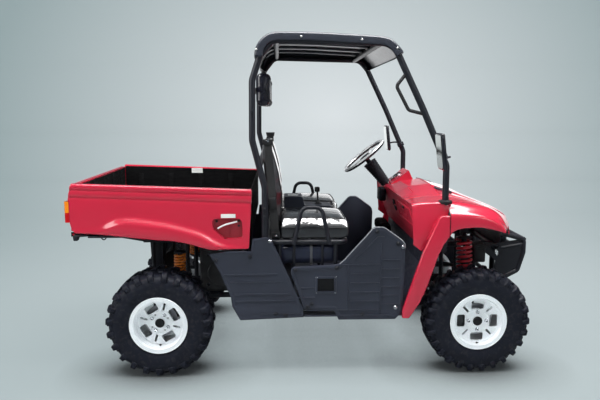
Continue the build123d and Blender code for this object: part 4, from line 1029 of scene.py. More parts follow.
# ------------------------------------------------------------------ load bed
BED_BOTTOM = mm([(-1369, 861), (-1156, 846), (-930, 822), (-784, 812), (-612, 762), (-365, 761)])
BED_FLARE = mm([(-1412, 885), (-1225, 903), (-1160, 934), (-1099, 956), (-1045, 960), (-828, 928),
                (-647, 876), (-556, 819), (-484, 786), (-343, 786)])
BED_REAR = mm([(861, -1369), (903, -1398), (980, -1412), (1072, -1400), (1152, -1381)])


def bed_rear_x(z):
    """Station of the side's rear edge at a height."""
    for (z0, x0), (z1, x1) in zip(BED_REAR, BED_REAR[1:]):
        if z <= z1:
            return x0 + (x1 - x0) * (z - z0) / (z1 - z0)
    return BED_REAR[-1][1]


def ease(x, start, end):
    """0 before the start, 1 after the end, eased between."""
    share = min(max((x - start) / (end - start), 0), 1)
    return share * share * (3 - 2 * share)


def bed_side():
    """Pressed side panel: rolled rim, recessed band, wheel-arch bulge and latch pocket."""
    shares = (0, 0.004, 0.03, 0.08, 0.13, 0.17, 0.21, 0.26, 0.32, 0.38, 0.44, 0.5, 0.56, 0.62, 0.67, 0.72,
              0.76, 0.8, 0.84, 0.88, 0.93, 0.97, 0.996, 1)
    columns = []
    for share in shares:
        x = -1.395 + share * 1.042
        low, bulge_top = level(BED_BOTTOM, x), level(BED_FLARE, x)
        ledge = 1.080 - (x + 1.398) / 1.05 * 0.041
        rim = 1.152 - (x + 1.381) / 1.038 * 0.039
        bulge = ease(x, -1.25, -1.1) * (1 - ease(x, -0.56, -0.452))
        rise = bulge_top - low
        slope = min(0.03, 0.5 * rise)
        section = [
            (low + 0.004, 0), (low, 0.006), (low, 0.034 + 0.018 * bulge),
            (low + 0.004, 0.0425 + 0.022 * bulge), (low + 0.25 * rise, 0.044 + 0.0245 * bulge),
            (bulge_top - slope * 1.15, 0.044 + 0.0245 * bulge), (bulge_top - slope, 0.044 + 0.022 * bulge),
            (bulge_top - 0.12 * slope, 0.0415 + 0.004 * bulge), (bulge_top, 0.0415),
            ((bulge_top + ledge) / 2, 0.0415), (ledge - 0.0065, 0.0415), (ledge - 0.0045, 0.0365),
            (ledge - 0.0005, 0.0365), (ledge + 0.0015, 0.0445), (rim - 0.037, 0.0438),
            (rim - 0.0355, 0.0385), (rim - 0.0315, 0.0385), (rim - 0.0295, 0.0462), (rim - 0.009, 0.0465),
            (rim - 0.001, 0.042), (rim, 0.032), (rim, 0.006), (rim - 0.003, 0), ((rim + low) / 2, 0),
        ]
        column = []
        for z, out in section:
            rear, front = bed_rear_x(z), -0.365 + (z - 0.761) / 0.352 * 0.022
            column.append((rear + (front - rear) * share, -0.602 - out, z))
        columns.append(column + column[:1])
    side = net(columns, None, 1)
    pocket = mm([(-576, 930), (-566, 946), (-418, 945), (-402, 924), (-399, 837), (-415, 825), (-508, 824),
                 (-574, 886)])
    tool = plate(row_at(-0.7, pocket), (0, 0.08, 0))
    side = cut(side, soften(tool, 0.004, 2, 20))
    return smooth(side, 30)


class VEHICLE_OT_load_bed(bpy.types.Operator):
    """Models the bed's sides, latches, labels, liner ribs and corner brackets"""

    bl_idname = "vehicle.load_bed"
    bl_label = "Load bed"

    def execute(self, context):
        right = bed_side()
        left = reflected(right)
        present(right, "bed_panel_right", "cargo_bed", "body", ["bed_side_right"])
        present(smooth(left, 30), "bed_panel_left", "cargo_bed", "body", ["bed_side_left"])
        lever = pipe([(-0.545, -0.637, 0.886), (-0.53, -0.639, 0.896), (-0.505, -0.64, 0.908),
                      (-0.47, -0.64, 0.918), (-0.432, -0.637, 0.927)], 0.0052)
        present(both_sides(lever), "bed_latch_levers", "cargo_bed", "silver")
        # Painted shade: dark red sheets on the pocket's floor and in its slot stand for the shade inside the
        # recess.
        pocket_shade_sheet = mm([(-571, 929), (-563, 941), (-421, 940), (-407, 922), (-404, 839), (-418, 830),
                     (-506, 829), (-569, 887)])
        pocket_shade_sheet = plate(row_at(-0.6215, pocket_shade_sheet), (0, 0.0012, 0), 0.0004, 1)
        slot_shade_strip = block((-0.4785, -0.6238, 0.832), (-0.4735, -0.62, 0.886), 0.001)
        dark = both_sides(merge(pocket_shade_sheet, slot_shade_strip))
        present(dark, "bed_pocket_shade_plates", "cargo_bed", "pocket")
        size = context.scene.vehicle_sizes.bolt_width
        bolts = copies(button_head(size * 0.8),
                       on_side(-0.6222, ((-0.552, 0.926), (-0.424, 0.929), (-0.424, 0.9))))
        present(both_sides(bolts), "bed_latch_bolts", "cargo_bed", "frame")
        labels = [block((-0.525, -0.6475, 0.95), (-0.441, -0.6458, 0.973), 0.0004, 1),
                  block((-0.862, 0.5932, 1.087), (-0.778, 0.5948, 1.125), 0.0004, 1)]
        present(merge(*labels), "bed_labels", "cargo_bed", "label")
        ribs = [block((-1.33, y - 0.022, 0.8488), (-0.4, y + 0.022, 0.8545), 0.0025, 2)
                for y in (-0.48, -0.36, -0.24, -0.12, 0, 0.12, 0.24, 0.36, 0.48)]
        present(merge(*ribs), "bed_floor_ribs", "cargo_bed", "liner")
        wall_ribs = [block((x - 0.018, 0.5895, 0.88), (x + 0.018, 0.5955, 1.085), 0.0025, 2)
                     for x in (-1.25, -1.02, -0.79, -0.56)]
        present(both_sides(merge(*wall_ribs)), "bed_wall_ribs", "cargo_bed", "liner")
        corner = mm([(-1376, 852), (-1300, 850), (-1298, 842), (-1352, 838), (-1360, 816), (-1382, 816),
                     (-1386, 838)])
        corner = plate(row_at(-0.628, corner), (0, 0.03, 0), 0.002)
        strip = block((-1.3, -0.626, 0.832), (-1.06, -0.6, 0.8425), 0.002, 2)
        hook = pipe([(-1.225, -0.62, 0.838), (-1.22, -0.62, 0.823), (-1.2, -0.62, 0.82),
                     (-1.193, -0.62, 0.838)], 0.0035)
        present(both_sides(merge(corner, strip, hook)), "bed_corner_brackets", "cargo_bed",
                "frame")
        return {"FINISHED"}


# ------------------------------------------------------------------ roof
ROOF_LINE = mm([(-326, 1847), (-325, 1875), (-322, 1902), (-311, 1933), (-290, 1962), (-262, 1985),
                (-228, 2001), (-180, 2005), (-60, 2004), (60, 2001), (180, 1994), (280, 1989), (360, 1984),
                (410, 1980), (452, 1966), (480, 1943), (503, 1918), (519, 1898), (530, 1881)])


def roof_sections(section, drop=0.0):
    """Rows of an across-section of (y, depth) points carried along the roof's line."""
    rows = []
    for i, (x, z) in enumerate(ROOF_LINE):
        (x0, z0), (x1, z1) = ROOF_LINE[max(i - 1, 0)], ROOF_LINE[min(i + 1, len(ROOF_LINE) - 1)]
        turn = atan2(z1 - z0, x1 - x0)
        rows.append([(x + (d + drop) * sin(turn), y, z - (d + drop) * cos(turn)) for y, d in section])
    return rows


class VEHICLE_OT_roof(bpy.types.Operator):
    """Models the roof's shell with its rolled skirts and underside ribs"""

    bl_idname = "vehicle.roof"
    bl_label = "Roof"

    def execute(self, context):
        half = [(0.65, 0.05), (0.6545, 0.0495), (0.655, 0.044), (0.655, 0.018), (0.652, 0.007),
                (0.643, 0.002), (0.62, 0.0008), (0.5, 0.0), (0.44, 0.0), (0.425, 0.004), (0.30, 0.004),
                (0.285, 0.0), (0.15, 0.0), (0.135, 0.004)]
        section = [(-y, d) for y, d in half] + [(0, 0.004)] + list(reversed(half))
        inner = [(0.65, 0.045), (0.6495, 0.014), (0.641, 0.0075), (0.4, 0.0075), (0, 0.009)]
        section += inner + [(-y, d) for y, d in reversed(inner[:-1])] + [(-0.65, 0.05)]
        shell = net(roof_sections(section), None, 1)
        ribs = []
        for y in (-0.42, -0.14, 0.14, 0.42):
            rib = [(y - 0.03, 0.007), (y - 0.026, 0.02), (y - 0.018, 0.024), (y + 0.018, 0.024),
                   (y + 0.026, 0.02), (y + 0.03, 0.007), (y - 0.03, 0.007)]
            ribs.append(net(roof_sections(rib)[4:-4], None, 1))
        present(merge(shell, *ribs), "roof_shell", "chassis", "roof", ["roof_panel"])
        size = context.scene.vehicle_sizes.bolt_width
        spots = []
        for side in (-1, 1):
            for i in (3, 8, 11, 15):
                x, z = ROOF_LINE[i]
                spots.append(facing((x, side * 0.6552, z - 0.031), Y * side))
        present(copies(button_head(size * 0.75), spots), "roof_bolts", "chassis", "zinc")
        return {"FINISHED"}


# ------------------------------------------------------------------ seats and belts
def swell(obj, cap, floor=None, voxel=0.006):
    """Fills a closed cover until it bulges, with each point moving no more than the cap."""
    shape(obj, "REMESH", mode="VOXEL", voxel_size=voxel)
    start = [vertex.co.copy() for vertex in obj.data.vertices]
    cloth = obj.modifiers.new("Cloth", "CLOTH")
    cloth.settings.use_pressure = True
    cloth.settings.uniform_pressure_force = 4
    cloth.settings.effector_weights.gravity = 0
    cloth.point_cache.frame_start, cloth.point_cache.frame_end = 1, 20
    for step in range(1, 21):
        bpy.context.scene.frame_set(step)
    pick(obj)
    bpy.ops.object.modifier_apply(modifier=cloth.name)
    bpy.context.scene.frame_set(1)
    for vertex, place in zip(obj.data.vertices, start):
        shift = vertex.co - place
        vertex.co = place + shift * min(1.0, cap / max(shift.length, 0.000001))
    shape(obj, "SUBSURF", levels=1, render_levels=1)
    if floor is not None:
        for vertex in obj.data.vertices:
            vertex.co.z = max(vertex.co.z, floor)
    return smooth(obj, 60)


def dense(points, parts=6):
    """Closed line with each stretch divided into equal parts."""
    points = [Vector(point) for point in points]
    line = []
    for a, b in zip(points, points[1:] + points[:1]):
        line += [a.lerp(b, i / parts) for i in range(parts)]
    return line


def seam(cushion, points, radius):
    """Piping laid along a closed line on the cushion's surface."""
    line = []
    for point in dense(points):
        _, spot, normal, _ = cushion.closest_point_on_mesh(point)
        line.append(spot + normal * radius * 0.35)
    return pipe(line, radius, 3, True, 2)


SEAT_STATIONS = (
    (-0.178, 0.812, 0.876, 0.912, 0.226), (-0.16, 0.808, 0.878, 0.929, 0.23),
    (0.0, 0.808, 0.876, 0.931, 0.231), (0.12, 0.808, 0.875, 0.928, 0.231),
    (0.192, 0.81, 0.874, 0.922, 0.231), (0.218, 0.815, 0.873, 0.913, 0.23),
    (0.228, 0.826, 0.87, 0.902, 0.227),
)
BACK_STATIONS = (
    (0.818, -0.232, -0.199, 0.172), (0.9, -0.239, -0.182, 0.194), (1.0, -0.247, -0.175, 0.201),
    (1.08, -0.256, -0.174, 0.203), (1.2, -0.27, -0.194, 0.202), (1.29, -0.279, -0.218, 0.198),
    (1.35, -0.282, -0.238, 0.186), (1.374, -0.279, -0.252, 0.162),
)


def seat_cushion():
    """Right seat's cushion: boxed sides, a slanting border and a crowned top."""
    rows = []
    for x, low, shoulder, top, half in SEAT_STATIONS:
        inner = half - 0.86 * (top - shoulder)
        side = [(half - 0.006, low), (half, low + 0.01), (half, shoulder), (inner, top),
                (inner * 0.5, top + 0.005)]
        row = [(-y, z) for y, z in side] + [(0, top + 0.006)] + [(y, z) for y, z in reversed(side)]
        row += [(0, low), row[0]]
        rows.append([(x, y - SEAT_SIDE, z) for y, z in row])
    return swell(net(rows, None, 0), 0.0035, 0.8065)


def seat_back():
    """Right seat's back: flat behind, with a slanting border and a crowned front."""
    rows = []
    for z, rear, front, half in BACK_STATIONS:
        side = [(rear, half - 0.014), (rear + 0.014, half), (front - 0.03, half),
                (front - 0.002, half - 0.042), (front + 0.002, half * 0.4)]
        row = [(x, -y) for x, y in side] + [(front + 0.003, 0)] + [(x, y) for x, y in reversed(side)]
        row += [(rear, 0), row[0]]
        rows.append([(x, y - SEAT_SIDE, z) for x, y in row])
    return swell(net(rows, None, 0), 0.005)


def loop(stations, near, far):
    """Closed line through the near points of the stations and back through the far ones."""
    return [near(*station) for station in stations] + [far(*station) for station in reversed(stations)]


def sewn(cushion, lines, name, stands_for):
    """Presents a right-hand cushion with its piping, and their mirror images on the left."""
    radius = bpy.context.scene.vehicle_sizes.seam_width
    piping = merge(*[seam(cushion, line, radius) for line in lines])
    for tail, side in SIDES:
        pieces = [smooth(reflected(part) if side > 0 else duplicate(part), 60) for part in (cushion, piping)]
        node = stands_for.format(tail)
        present(pieces[0], f"{name}_{tail}_cover", "chassis", "vinyl", [node])
        present(pieces[1], f"{name}_{tail}_piping", "chassis", "piping")
    bpy.data.objects.remove(cushion)
    bpy.data.objects.remove(piping)


class VEHICLE_OT_seats(bpy.types.Operator):
    """Models the cushions, backs and headrests with their piping"""

    bl_idname = "vehicle.seats"
    bl_label = "Seats"

    def execute(self, context):
        middle = SEAT_STATIONS[:-1]
        shoulder = loop(middle, lambda x, low, mid, top, half: (x, -SEAT_SIDE - half, mid),
                        lambda x, low, mid, top, half: (x, -SEAT_SIDE + half, mid))
        border = loop(middle, lambda x, low, mid, top, half: (x - 0.012, -0.304 - half, top),
                      lambda x, low, mid, top, half: (x - 0.012, -0.396 + half, top))
        sewn(seat_cushion(), [shoulder, border], "seat", "seat_cushion_{}")
        middle = BACK_STATIONS[:-1]
        edge = loop(middle, lambda z, rear, front, half: (front - 0.03, -SEAT_SIDE - half, z),
                    lambda z, rear, front, half: (front - 0.03, -SEAT_SIDE + half, z))
        face = loop(middle, lambda z, rear, front, half: (front, -0.308 - half, z),
                    lambda z, rear, front, half: (front, -0.392 + half, z))
        sewn(seat_back(), [edge, face], "backrest", "seat_back_{}")
        rest = swell(block((-0.32, -0.468, 1.591), (-0.239, -0.232, 1.787), 0.03, 5), 0.002, None, 0.005)
        rim = [(-0.252, -SEAT_SIDE + 0.122 * cos(a) * (1 - 0.12 * abs(cos(a) * sin(a))),
                1.6895 + 0.102 * sin(a) * (1 - 0.12 * abs(cos(a) * sin(a))))
               for a in [pi * 2 * i / 24 for i in range(24)]]
        piping = seam(rest, rim, context.scene.vehicle_sizes.seam_width * 0.8)
        both = both_sides(rest)
        present(smooth(both, 60), "headrest_covers", "chassis", "gloss_vinyl", ["headrests"])
        present(both_sides(piping), "headrest_piping", "chassis", "piping")
        return {"FINISHED"}


class VEHICLE_OT_belts(bpy.types.Operator):
    """Models the two belt straps with their rings, buckles and anchors"""

    bl_idname = "vehicle.belts"
    bl_label = "Seat belts"

    def execute(self, context):
        for tail, side in SIDES:
            rows = []
            for i in range(31):
                share = i / 30
                x, z = -0.2525 + 0.0435 * share, 1.386 - 0.574 * share
                sway = 0.0009 * sin(share * 11) + 0.5617
                rows.append([(x + w, side * (sway + 0.0006 * abs(w) / 0.0228), z + w * 0.075)
                             for w in (-0.0228, -0.011, 0, 0.011, 0.0228)])
            strap = net(rows, (0, side, 0), 1, 0.0016)
            present(strap, f"belt_strap_{tail}", "chassis", "webbing", ["seat_belts"])
            stitches = []
            for x, z in ((-0.2475, 1.32), (-0.2468, 1.31), (-0.2135, 0.87), (-0.2128, 0.86)):
                stitches.append(block((x - 0.021, side * 0.5628 - 0.0006, z - 0.0008),
                                      (x + 0.021, side * 0.5628 + 0.0006, z + 0.0008), 0.0003, 1))
            present(merge(*stitches), f"belt_stitches_{tail}", "chassis", "piping")
            ring = plate([(-0.286, side * 0.5585, 1.4), (-0.218, side * 0.5585, 1.4),
                          (-0.224, side * 0.5585, 1.368), (-0.28, side * 0.5585, 1.368)],
                         (0, side * 0.0075, 0), 0.003, 3)
            anchor = plate([(-0.236, side * 0.559, 0.846), (-0.182, side * 0.559, 0.846),
                            (-0.178, side * 0.559, 0.81), (-0.232, side * 0.559, 0.81)],
                           (0, side * 0.0065, 0), 0.003, 3)
            buckle = plate([(-0.252, side * 0.5605, 1.055), (-0.205, side * 0.5605, 1.058),
                            (-0.199, side * 0.5605, 0.995), (-0.244, side * 0.5605, 0.992)],
                           (0, side * 0.011, 0), 0.004, 3)
            hardware = merge(ring, anchor, buckle)
            present(hardware, f"belt_hardware_{tail}", "chassis", "grip")
            bolts = copies(button_head(0.016), [facing((x, side * 0.566, z), Y * side) for x, z in
                                                ((-0.252, 1.39), (-0.206, 0.826))])
            present(bolts, f"belt_bolts_{tail}", "chassis", "chrome")
        return {"FINISHED"}


# ------------------------------------------------------------------ side guards and tank
def panelled(points, depth, border, drop, width=0.0022):
    """Plate whose face is sunk inside a raised border."""
    obj = plate(points, depth)
    out = -Vector(depth)
    face = max(obj.data.polygons, key=lambda f: f.area if f.normal.dot(out) > 0 else 0)
    index = face.index
    edit(obj)
    bpy.ops.mesh.select_mode(type="FACE")
    bpy.ops.mesh.select_all(action="DESELECT")
    bpy.ops.object.mode_set(mode="OBJECT")
    obj.data.polygons[index].select = True
    bpy.ops.object.mode_set(mode="EDIT")
    bpy.ops.mesh.inset(thickness=border, depth=0)
    bpy.ops.mesh.inset(thickness=0.0035, depth=-drop)
    close_edit()
    return soften(obj, width, 2, 25)


GUARD_LINE = ahead([(-1122, 622), (-1116, 642), (-1098, 654), (-862, 662), (-833, 672), (-806, 694),
                    (-682, 832), (-640, 880), (-622, 890), (-580, 890), (-560, 880), (-462, 808), (-450, 790),
                    (-446, 765), (-449, 571), (-456, 385), (-468, 362), (-498, 331), (-836, 331), (-868, 393),
                    (-1040, 399)])
REAR_PANEL_LINE = mm([(304, 738), (420, 752), (548, 752), (556, 826), (634, 834), (652, 831), (666, 821),
                      (769, 595), (850, 402), (855, 349), (479, 334), (432, 420), (425, 476), (364, 625)],
                      REAR_AXLE * 1000)


def bar(x0, x1, z0, z1=None, high=0.006, face=-0.6565):
    """Moulded rib on a side panel between two side-view points."""
    z1 = z0 if z1 is None else z1
    long, turn = hypot(x1 - x0, z1 - z0), atan2(z1 - z0, x1 - x0)
    rib = block((0, 0, -high / 2), (long, 0.006, high / 2), 0.0018, 2)
    return copies(rib, [Matrix.Translation((x0, face, z0)) @ Matrix.Rotation(-turn, 4, "Y")])


class VEHICLE_OT_side_guards(bpy.types.Operator):
    """Models the side guards, the panels behind them, their ribs and bolts, and the tank"""

    bl_idname = "vehicle.side_guards"
    bl_label = "Side guards"

    def execute(self, context):
        guard = panelled(row_at(GUARD_FACE, GUARD_LINE), (0, 0.03, 0), 0.019, 0.0028, 0.0026)
        window = block((0.037, -0.7, 0.505), (0.136, -0.637, 0.585), 0.004, 2)
        cut(guard, window)
        surround = block((0.024, -0.6565, 0.492), (0.149, -0.648, 0.598), 0.003, 2)
        cut(surround, block((0.037, -0.7, 0.505), (0.136, -0.6, 0.585)))
        ribs = [bar(0.232, 0.405, z) for z in (0.612, 0.556, 0.5, 0.444)]
        ribs += [bar(0.418, 0.524, z) for z in (0.694, 0.64, 0.586, 0.532, 0.478, 0.424)]
        ribs += [bar(-0.09, 0.02, z) for z in (0.528, 0.47)]
        ribs += [bar(-0.03, 0.405, 0.39), bar(0.165, 0.405, 0.668)]
        ribs += [bar(0.412, 0.412, 0.365, 0.792, 0.008), bar(0.219, 0.219, 0.39, 0.668, 0.005),
                 bar(0.254, 0.392, 0.69, 0.835, 0.005), bar(0.392, 0.43, 0.835, 0.835, 0.005)]
        ledges = [block((-0.04, -0.6575, 0.352), (0.475, -0.648, 0.36), 0.0015, 2)]
        panel = panelled(row_at(GUARD_FACE, REAR_PANEL_LINE), (0, 0.011, 0), 0.012, 0.0018, 0.0018)
        lines = [bar(-0.515, -0.2, 0.612, 0.612, 0.01), bar(-0.478, -0.175, 0.566, 0.566, 0.004),
                 bar(-0.455, -0.125, 0.492, 0.492, 0.012), bar(-0.445, -0.1, 0.452, 0.452, 0.004),
                 bar(-0.3, -0.06, 0.372, 0.372, 0.004)]
        right = merge(guard, surround, *ribs, *ledges)
        rear = merge(panel, *lines)
        for tail, side in SIDES:
            for part, name, node in ((right, "side_guard_skin", f"side_guard_{tail}"),
                                     (rear, "rear_panel_skin", "rear_side_panels")):
                twin = reflected(part) if side > 0 else duplicate(part)
                present(smooth(twin, 30), f"{name}_{tail}", "chassis", "moulding", [node])
        bpy.data.objects.remove(right)
        bpy.data.objects.remove(rear)
        size = context.scene.vehicle_sizes.bolt_width
        spots = [(-0.095, 0.638), (0.15, 0.648), (0.386, 0.865), (0.511, 0.792), (0.002, 0.43),
                 (0.305, 0.362), (-0.021, 0.41), (-0.153, 0.362), (-0.21, 0.372), (-0.36, 0.72),
                 (-0.56, 0.7)]
        bolts = copies(bolt_head(size), on_side(BOLT_FACE, spots))
        present(both_sides(bolts), "guard_bolts", "chassis", "frame")
        bright = [(0.541, 0.772), (0.503, 0.402), (-0.243, 0.812)]
        small = [(0.03, 0.498), (0.143, 0.498), (0.03, 0.592), (0.143, 0.592)]
        shiny = copies(bolt_head(size * 0.9), on_side(BOLT_FACE, bright))
        screws = copies(button_head(size * 0.5), on_side(-0.6562, small))
        present(both_sides(merge(shiny, screws)), "guard_screws", "chassis", "chrome")
        # Painted highlight: a pale pipe along the guards' top edge stands for the light caught there.
        rim = [(x, -0.6525, z + 0.0008) for x, z in GUARD_LINE[4:14]]
        # Painted shade: near-black sheets deep in the guards' window openings stand for the shade behind
        # them.
        window_shade_sheets = block((0.03, -0.6405, 0.498), (0.143, -0.6365, 0.592), 0.001, 1)
        present(both_sides(window_shade_sheets), "guard_window_shades", "chassis", "recess")
        present(both_sides(pipe(rim, 0.0028, 2, False, 2)), "guard_edge_trims", "chassis",
                "edge_trim")
        tank = block((-0.1945, -0.5655, 0.6485), (0.1615, -0.2605, 0.7635), 0.04, 5)
        present(tank, "fuel_tank_shell", "chassis", "tank", ["fuel_tank"])
        band = block((-0.004, -0.5685, 0.6465), (0.012, -0.2575, 0.7655), 0.003, 2)
        band = soften(band, 0.001, 1, 20)
        present(band, "fuel_tank_strap", "chassis", "steel")
        return {"FINISHED"}


# ------------------------------------------------------------------ cabin
WHEEL_FRAME = Matrix.Translation((0.44, 0.33, 1.236)) @ Matrix(
    ((0, 0.778, -0.628), (-1, 0, 0), (0, 0.628, 0.778))).to_4x4()
DASH_FRAME = Matrix.Translation((0.588 + 0.274 * 0.1025, -0.355, 1.022 - 0.9617 * 0.1025)) @ Matrix(
    ((0, -0.274, -0.9617), (-1, 0, 0), (0, 0.9617, -0.274))).to_4x4()


class VEHICLE_OT_cabin(bpy.types.Operator):
    """Models the steering wheel, the gauge, the dash and footwell fittings, the lever and the cup ring"""

    bl_idname = "vehicle.cabin"
    bl_label = "Cabin"

    def execute(self, context):
        ring = [(STEERING_RADIUS + STEERING_TUBE * cos(a), STEERING_TUBE * sin(a))
                for a in [pi * 2 * i / 18 for i in range(18)]]
        rim = turned(ring, (0, 0, 0), Z, 72, 60)
        hub = turned([(0, -0.03), (0.046, -0.03), (0.046, -0.012), (0.042, -0.005), (0.033, -0.001),
                      (0.012, 0.0005), (0, 0.0005)], (0, 0, 0), Z, 40)
        present(copies(merge(rim, hub), [WHEEL_FRAME]), "steering_rim", "hand_wheel", "gloss_grip",
                ["steering_wheel"])
        # Painted highlight: a pale arc over the top of the black rim and pale spokes stand for the sky's
        # reflection on the wheel.
        arc = [(STEERING_RADIUS + 0.0145 * cos(radians(a)), 0.0145 * sin(radians(a)))
               for a in range(12, 169, 12)]
        rim_top_highlight = turned(arc + [(STEERING_RADIUS, 0.001)], (0, 0, 0), Z, 72, 60)
        spokes = []
        for angle in (30, 150, 270):
            arm = plate([(0.036, -0.021, -0.018), (0.159, -0.013, -0.012), (0.159, 0.013, -0.012),
                         (0.036, 0.021, -0.018)], (0, 0, 0.008), 0.0022, 2)
            spokes.append(copies(arm, [Matrix.Rotation(radians(angle), 4, "Z")]))
        pale = copies(merge(rim_top_highlight, *spokes), [WHEEL_FRAME])
        present(pale, "steering_spokes_highlight", "hand_wheel", "silver")
        ribs = [(0.018, -0.062)]
        for i in range(12):
            along = -0.062 - i * 0.0165
            radius = 0.051 - i * 0.0013
            ribs += [(radius, along - 0.003), (radius, along - 0.0085), (radius - 0.0042, along - 0.0115),
                     (radius - 0.0042, along - 0.0145)]
        ribs += [(0.034, -0.262), (0.018, -0.262)]
        boot = copies(turned(ribs, (0, 0, 0), Z, 40, 25), [WHEEL_FRAME])
        shroud = block((0.548, 0.272, 0.905), (0.6, 0.388, 1.0), 0.014, 3)
        stalk = pipe([(0.585, 0.27, 0.99), (0.56, 0.24, 1.0), (0.55, 0.2, 1.004)], 0.006)
        knob = block((0.538, 0.188, 0.992), (0.562, 0.206, 1.016), 0.006, 3)
        present(merge(boot, shroud, stalk, knob), "steering_boot", "chassis", "boot")
        tilt = facing((0.676, 0.315, 1.0845), (-0.603, 0, 0.798))
        bezel = turned([(0.043, -0.002), (0.05, -0.002), (0.05, 0.006), (0.0465, 0.009), (0.043, 0.0065)],
                       (0, 0, 0), Z, 48)
        face = turned([(0, 0), (0.044, 0), (0.044, 0.0015), (0, 0.0015)], (0, 0, 0), Z, 48)
        ticks = [copies(block((0.034, -0.0006, 0.0014), (0.041, 0.0006, 0.0019)),
                        [Matrix.Rotation(radians(a), 4, "Z")])
                 for a in range(-210, 31, 20)]
        needle = plate([(-0.006, -0.0014, 0.0026), (0.033, -0.0004, 0.0026), (0.033, 0.0004, 0.0026),
                        (-0.006, 0.0014, 0.0026)], (0, 0, 0.0008))
        needle = copies(needle, [Matrix.Rotation(radians(-150), 4, "Z")])
        present(copies(bezel, [tilt]), "gauge_bezel", "chassis", "chrome")
        present(copies(face, [tilt]), "gauge_dial", "chassis", "gauge")
        present(copies(merge(*ticks, needle), [tilt]), "gauge_marks", "chassis", "marks")
        frame_bars = [block((-0.2, 0.052, 0.0055), (0.2, 0.0595, 0.0095), 0.0015, 2),
                      block((-0.2, -0.0505, 0.0055), (0.2, -0.043, 0.0095), 0.0015, 2),
                      block((-0.202, -0.0505, 0.0055), (-0.194, 0.0595, 0.0095), 0.0015, 2),
                      block((0.194, -0.0505, 0.0055), (0.202, 0.0595, 0.0095), 0.0015, 2)]
        for x in (-0.12, -0.03, 0.06):
            for y in (-0.028, 0.0, 0.028):
                ridge = block((-0.034, -0.003, 0.0055), (0.034, 0.003, 0.0088), 0.0014, 2)
                spot = Matrix.Translation((x + y, y, 0)) @ Matrix.Rotation(0.35, 4, "Z")
                frame_bars.append(copies(ridge, [spot]))
        present(copies(merge(*frame_bars), [DASH_FRAME]), "glove_lid_ridges", "glove_door",
                "inner_red")
        latch = block((-0.02, 0.034, 0.0055), (0.02, 0.05, 0.013), 0.003, 3)
        present(copies(latch, [DASH_FRAME]), "glove_lid_latch", "glove_door", "grip")
        keys = [copies(block((x - 0.011, y - 0.016, 0), (x + 0.011, y + 0.016, 0.007), 0.002, 2),
                       [DASH_FRAME @ Matrix.Translation((-0.38, 0, 0))])
                for x, y in ((0.0, 0.02), (0.032, 0.02), (0.0, -0.024), (0.032, -0.024))]
        socket = turned([(0, 0), (0.013, 0), (0.012, 0.004), (0.008, 0.005), (0.0078, 0.0015), (0, 0.0015)],
                        (0, 0, 0), Z, 28)
        socket = copies(socket, [DASH_FRAME @ Matrix.Translation((-0.425, 0.0, 0))])
        present(merge(*keys, socket), "dash_switches", "chassis", "grip")
        rod = pipe([(0.08, 0, 0.931), (0.08, 0, 0.955), (0.076, 0, 0.99), (0.074, 0, 1.02)], 0.006)
        gaiter = turned([(0, 0.9285), (0.026, 0.9285), (0.026, 0.933), (0.017, 0.938), (0.019, 0.941),
                         (0.012, 0.947), (0.013, 0.95), (0.0065, 0.957), (0, 0.957)], (0.08, 0, 0), Z, 32)
        grip = block((0.056, -0.016, 1.014), (0.091, 0.016, 1.048), 0.008, 4)
        present(merge(rod, gaiter, grip), "gear_lever", "chassis", "grip", ["shift_lever"])
        cup = turned([(0.0305, 0.99), (0.0365, 0.99), (0.0365, 0.9935), (0.0345, 0.9952), (0.032, 0.9952),
                      (0.0305, 0.9925)], (-0.092, 0, 0), Z, 40)
        present(cup, "cup_ring", "chassis", "silver")
        hump = block((0.5605, 0.28, 0.656), (0.645, 0.585, 0.735), 0.028, 4)
        pedals = [block((0.53, y - 0.03, 0.44), (0.542, y + 0.03, 0.51), 0.004, 2) for y in (0.27, 0.37)]
        stems = [pipe([(0.54, y, 0.48), (0.59, y, 0.56), (0.6, y, 0.68)], 0.007) for y in (0.27, 0.37)]
        present(merge(hump, *pedals, *stems), "footwell_fittings", "chassis", "liner")
        ribs = [block((0.24, y - 0.006, 0.3735), (0.53, y + 0.006, 0.3795), 0.002, 2)
                for y in [s * (0.14 + 0.055 * i) for i in range(8) for s in (-1, 1)]]
        present(merge(*ribs), "floor_ribs", "chassis", "liner")
        return {"FINISHED"}


# ------------------------------------------------------------------ mirrors, lamps and front end
class VEHICLE_OT_mirrors(bpy.types.Operator):
    """Models the side mirrors with their glass and arms"""

    bl_idname = "vehicle.mirrors"
    bl_label = "Mirrors"

    def execute(self, context):
        outline = [(0.677, 1.444), (0.699, 1.445), (0.7215, 1.258), (0.714, 1.24), (0.698, 1.246)]
        shell = plate(row_at(-0.904, outline), (0, 0.128, 0), 0.0095, 4)
        arm = pipe([(0.709, -0.83, 1.3), (0.745, -0.812, 1.312), (0.77, -0.77, 1.31), (0.778, -0.7, 1.302),
                    (0.775, -0.65, 1.3), (0.765, -0.625, 1.3)], 0.0062)
        clamp = turned([(0.019, -0.014), (0.0255, -0.014), (0.0265, 0), (0.0255, 0.014), (0.019, 0.014)],
                       (0.7665, -0.625, 1.302), (0.41, 0, -0.912), 28)
        present(both_sides(merge(shell, arm, clamp)), "mirror_housings", "chassis",
                "gloss_grip", ["mirrors"])
        glass = [(-0.897, 1.434), (-0.783, 1.434), (-0.783, 1.262), (-0.8, 1.252), (-0.88, 1.252),
                 (-0.897, 1.262)]
        glass = [(0.6762 + (1.444 - z) * 0.106, y, z) for y, z in glass]
        pane = plate(glass, (-0.0022, 0, -0.0002), 0.0006, 1)
        present(both_sides(pane), "mirror_glasses", "chassis", "mirror")
        return {"FINISHED"}


BUMPER_PLATE = mm([(1129, 696), (1286, 723), (1398, 738), (1400, 652), (1366, 535), (1306, 500), (1254, 470),
                   (1216, 531), (1223, 597), (1138, 660)])


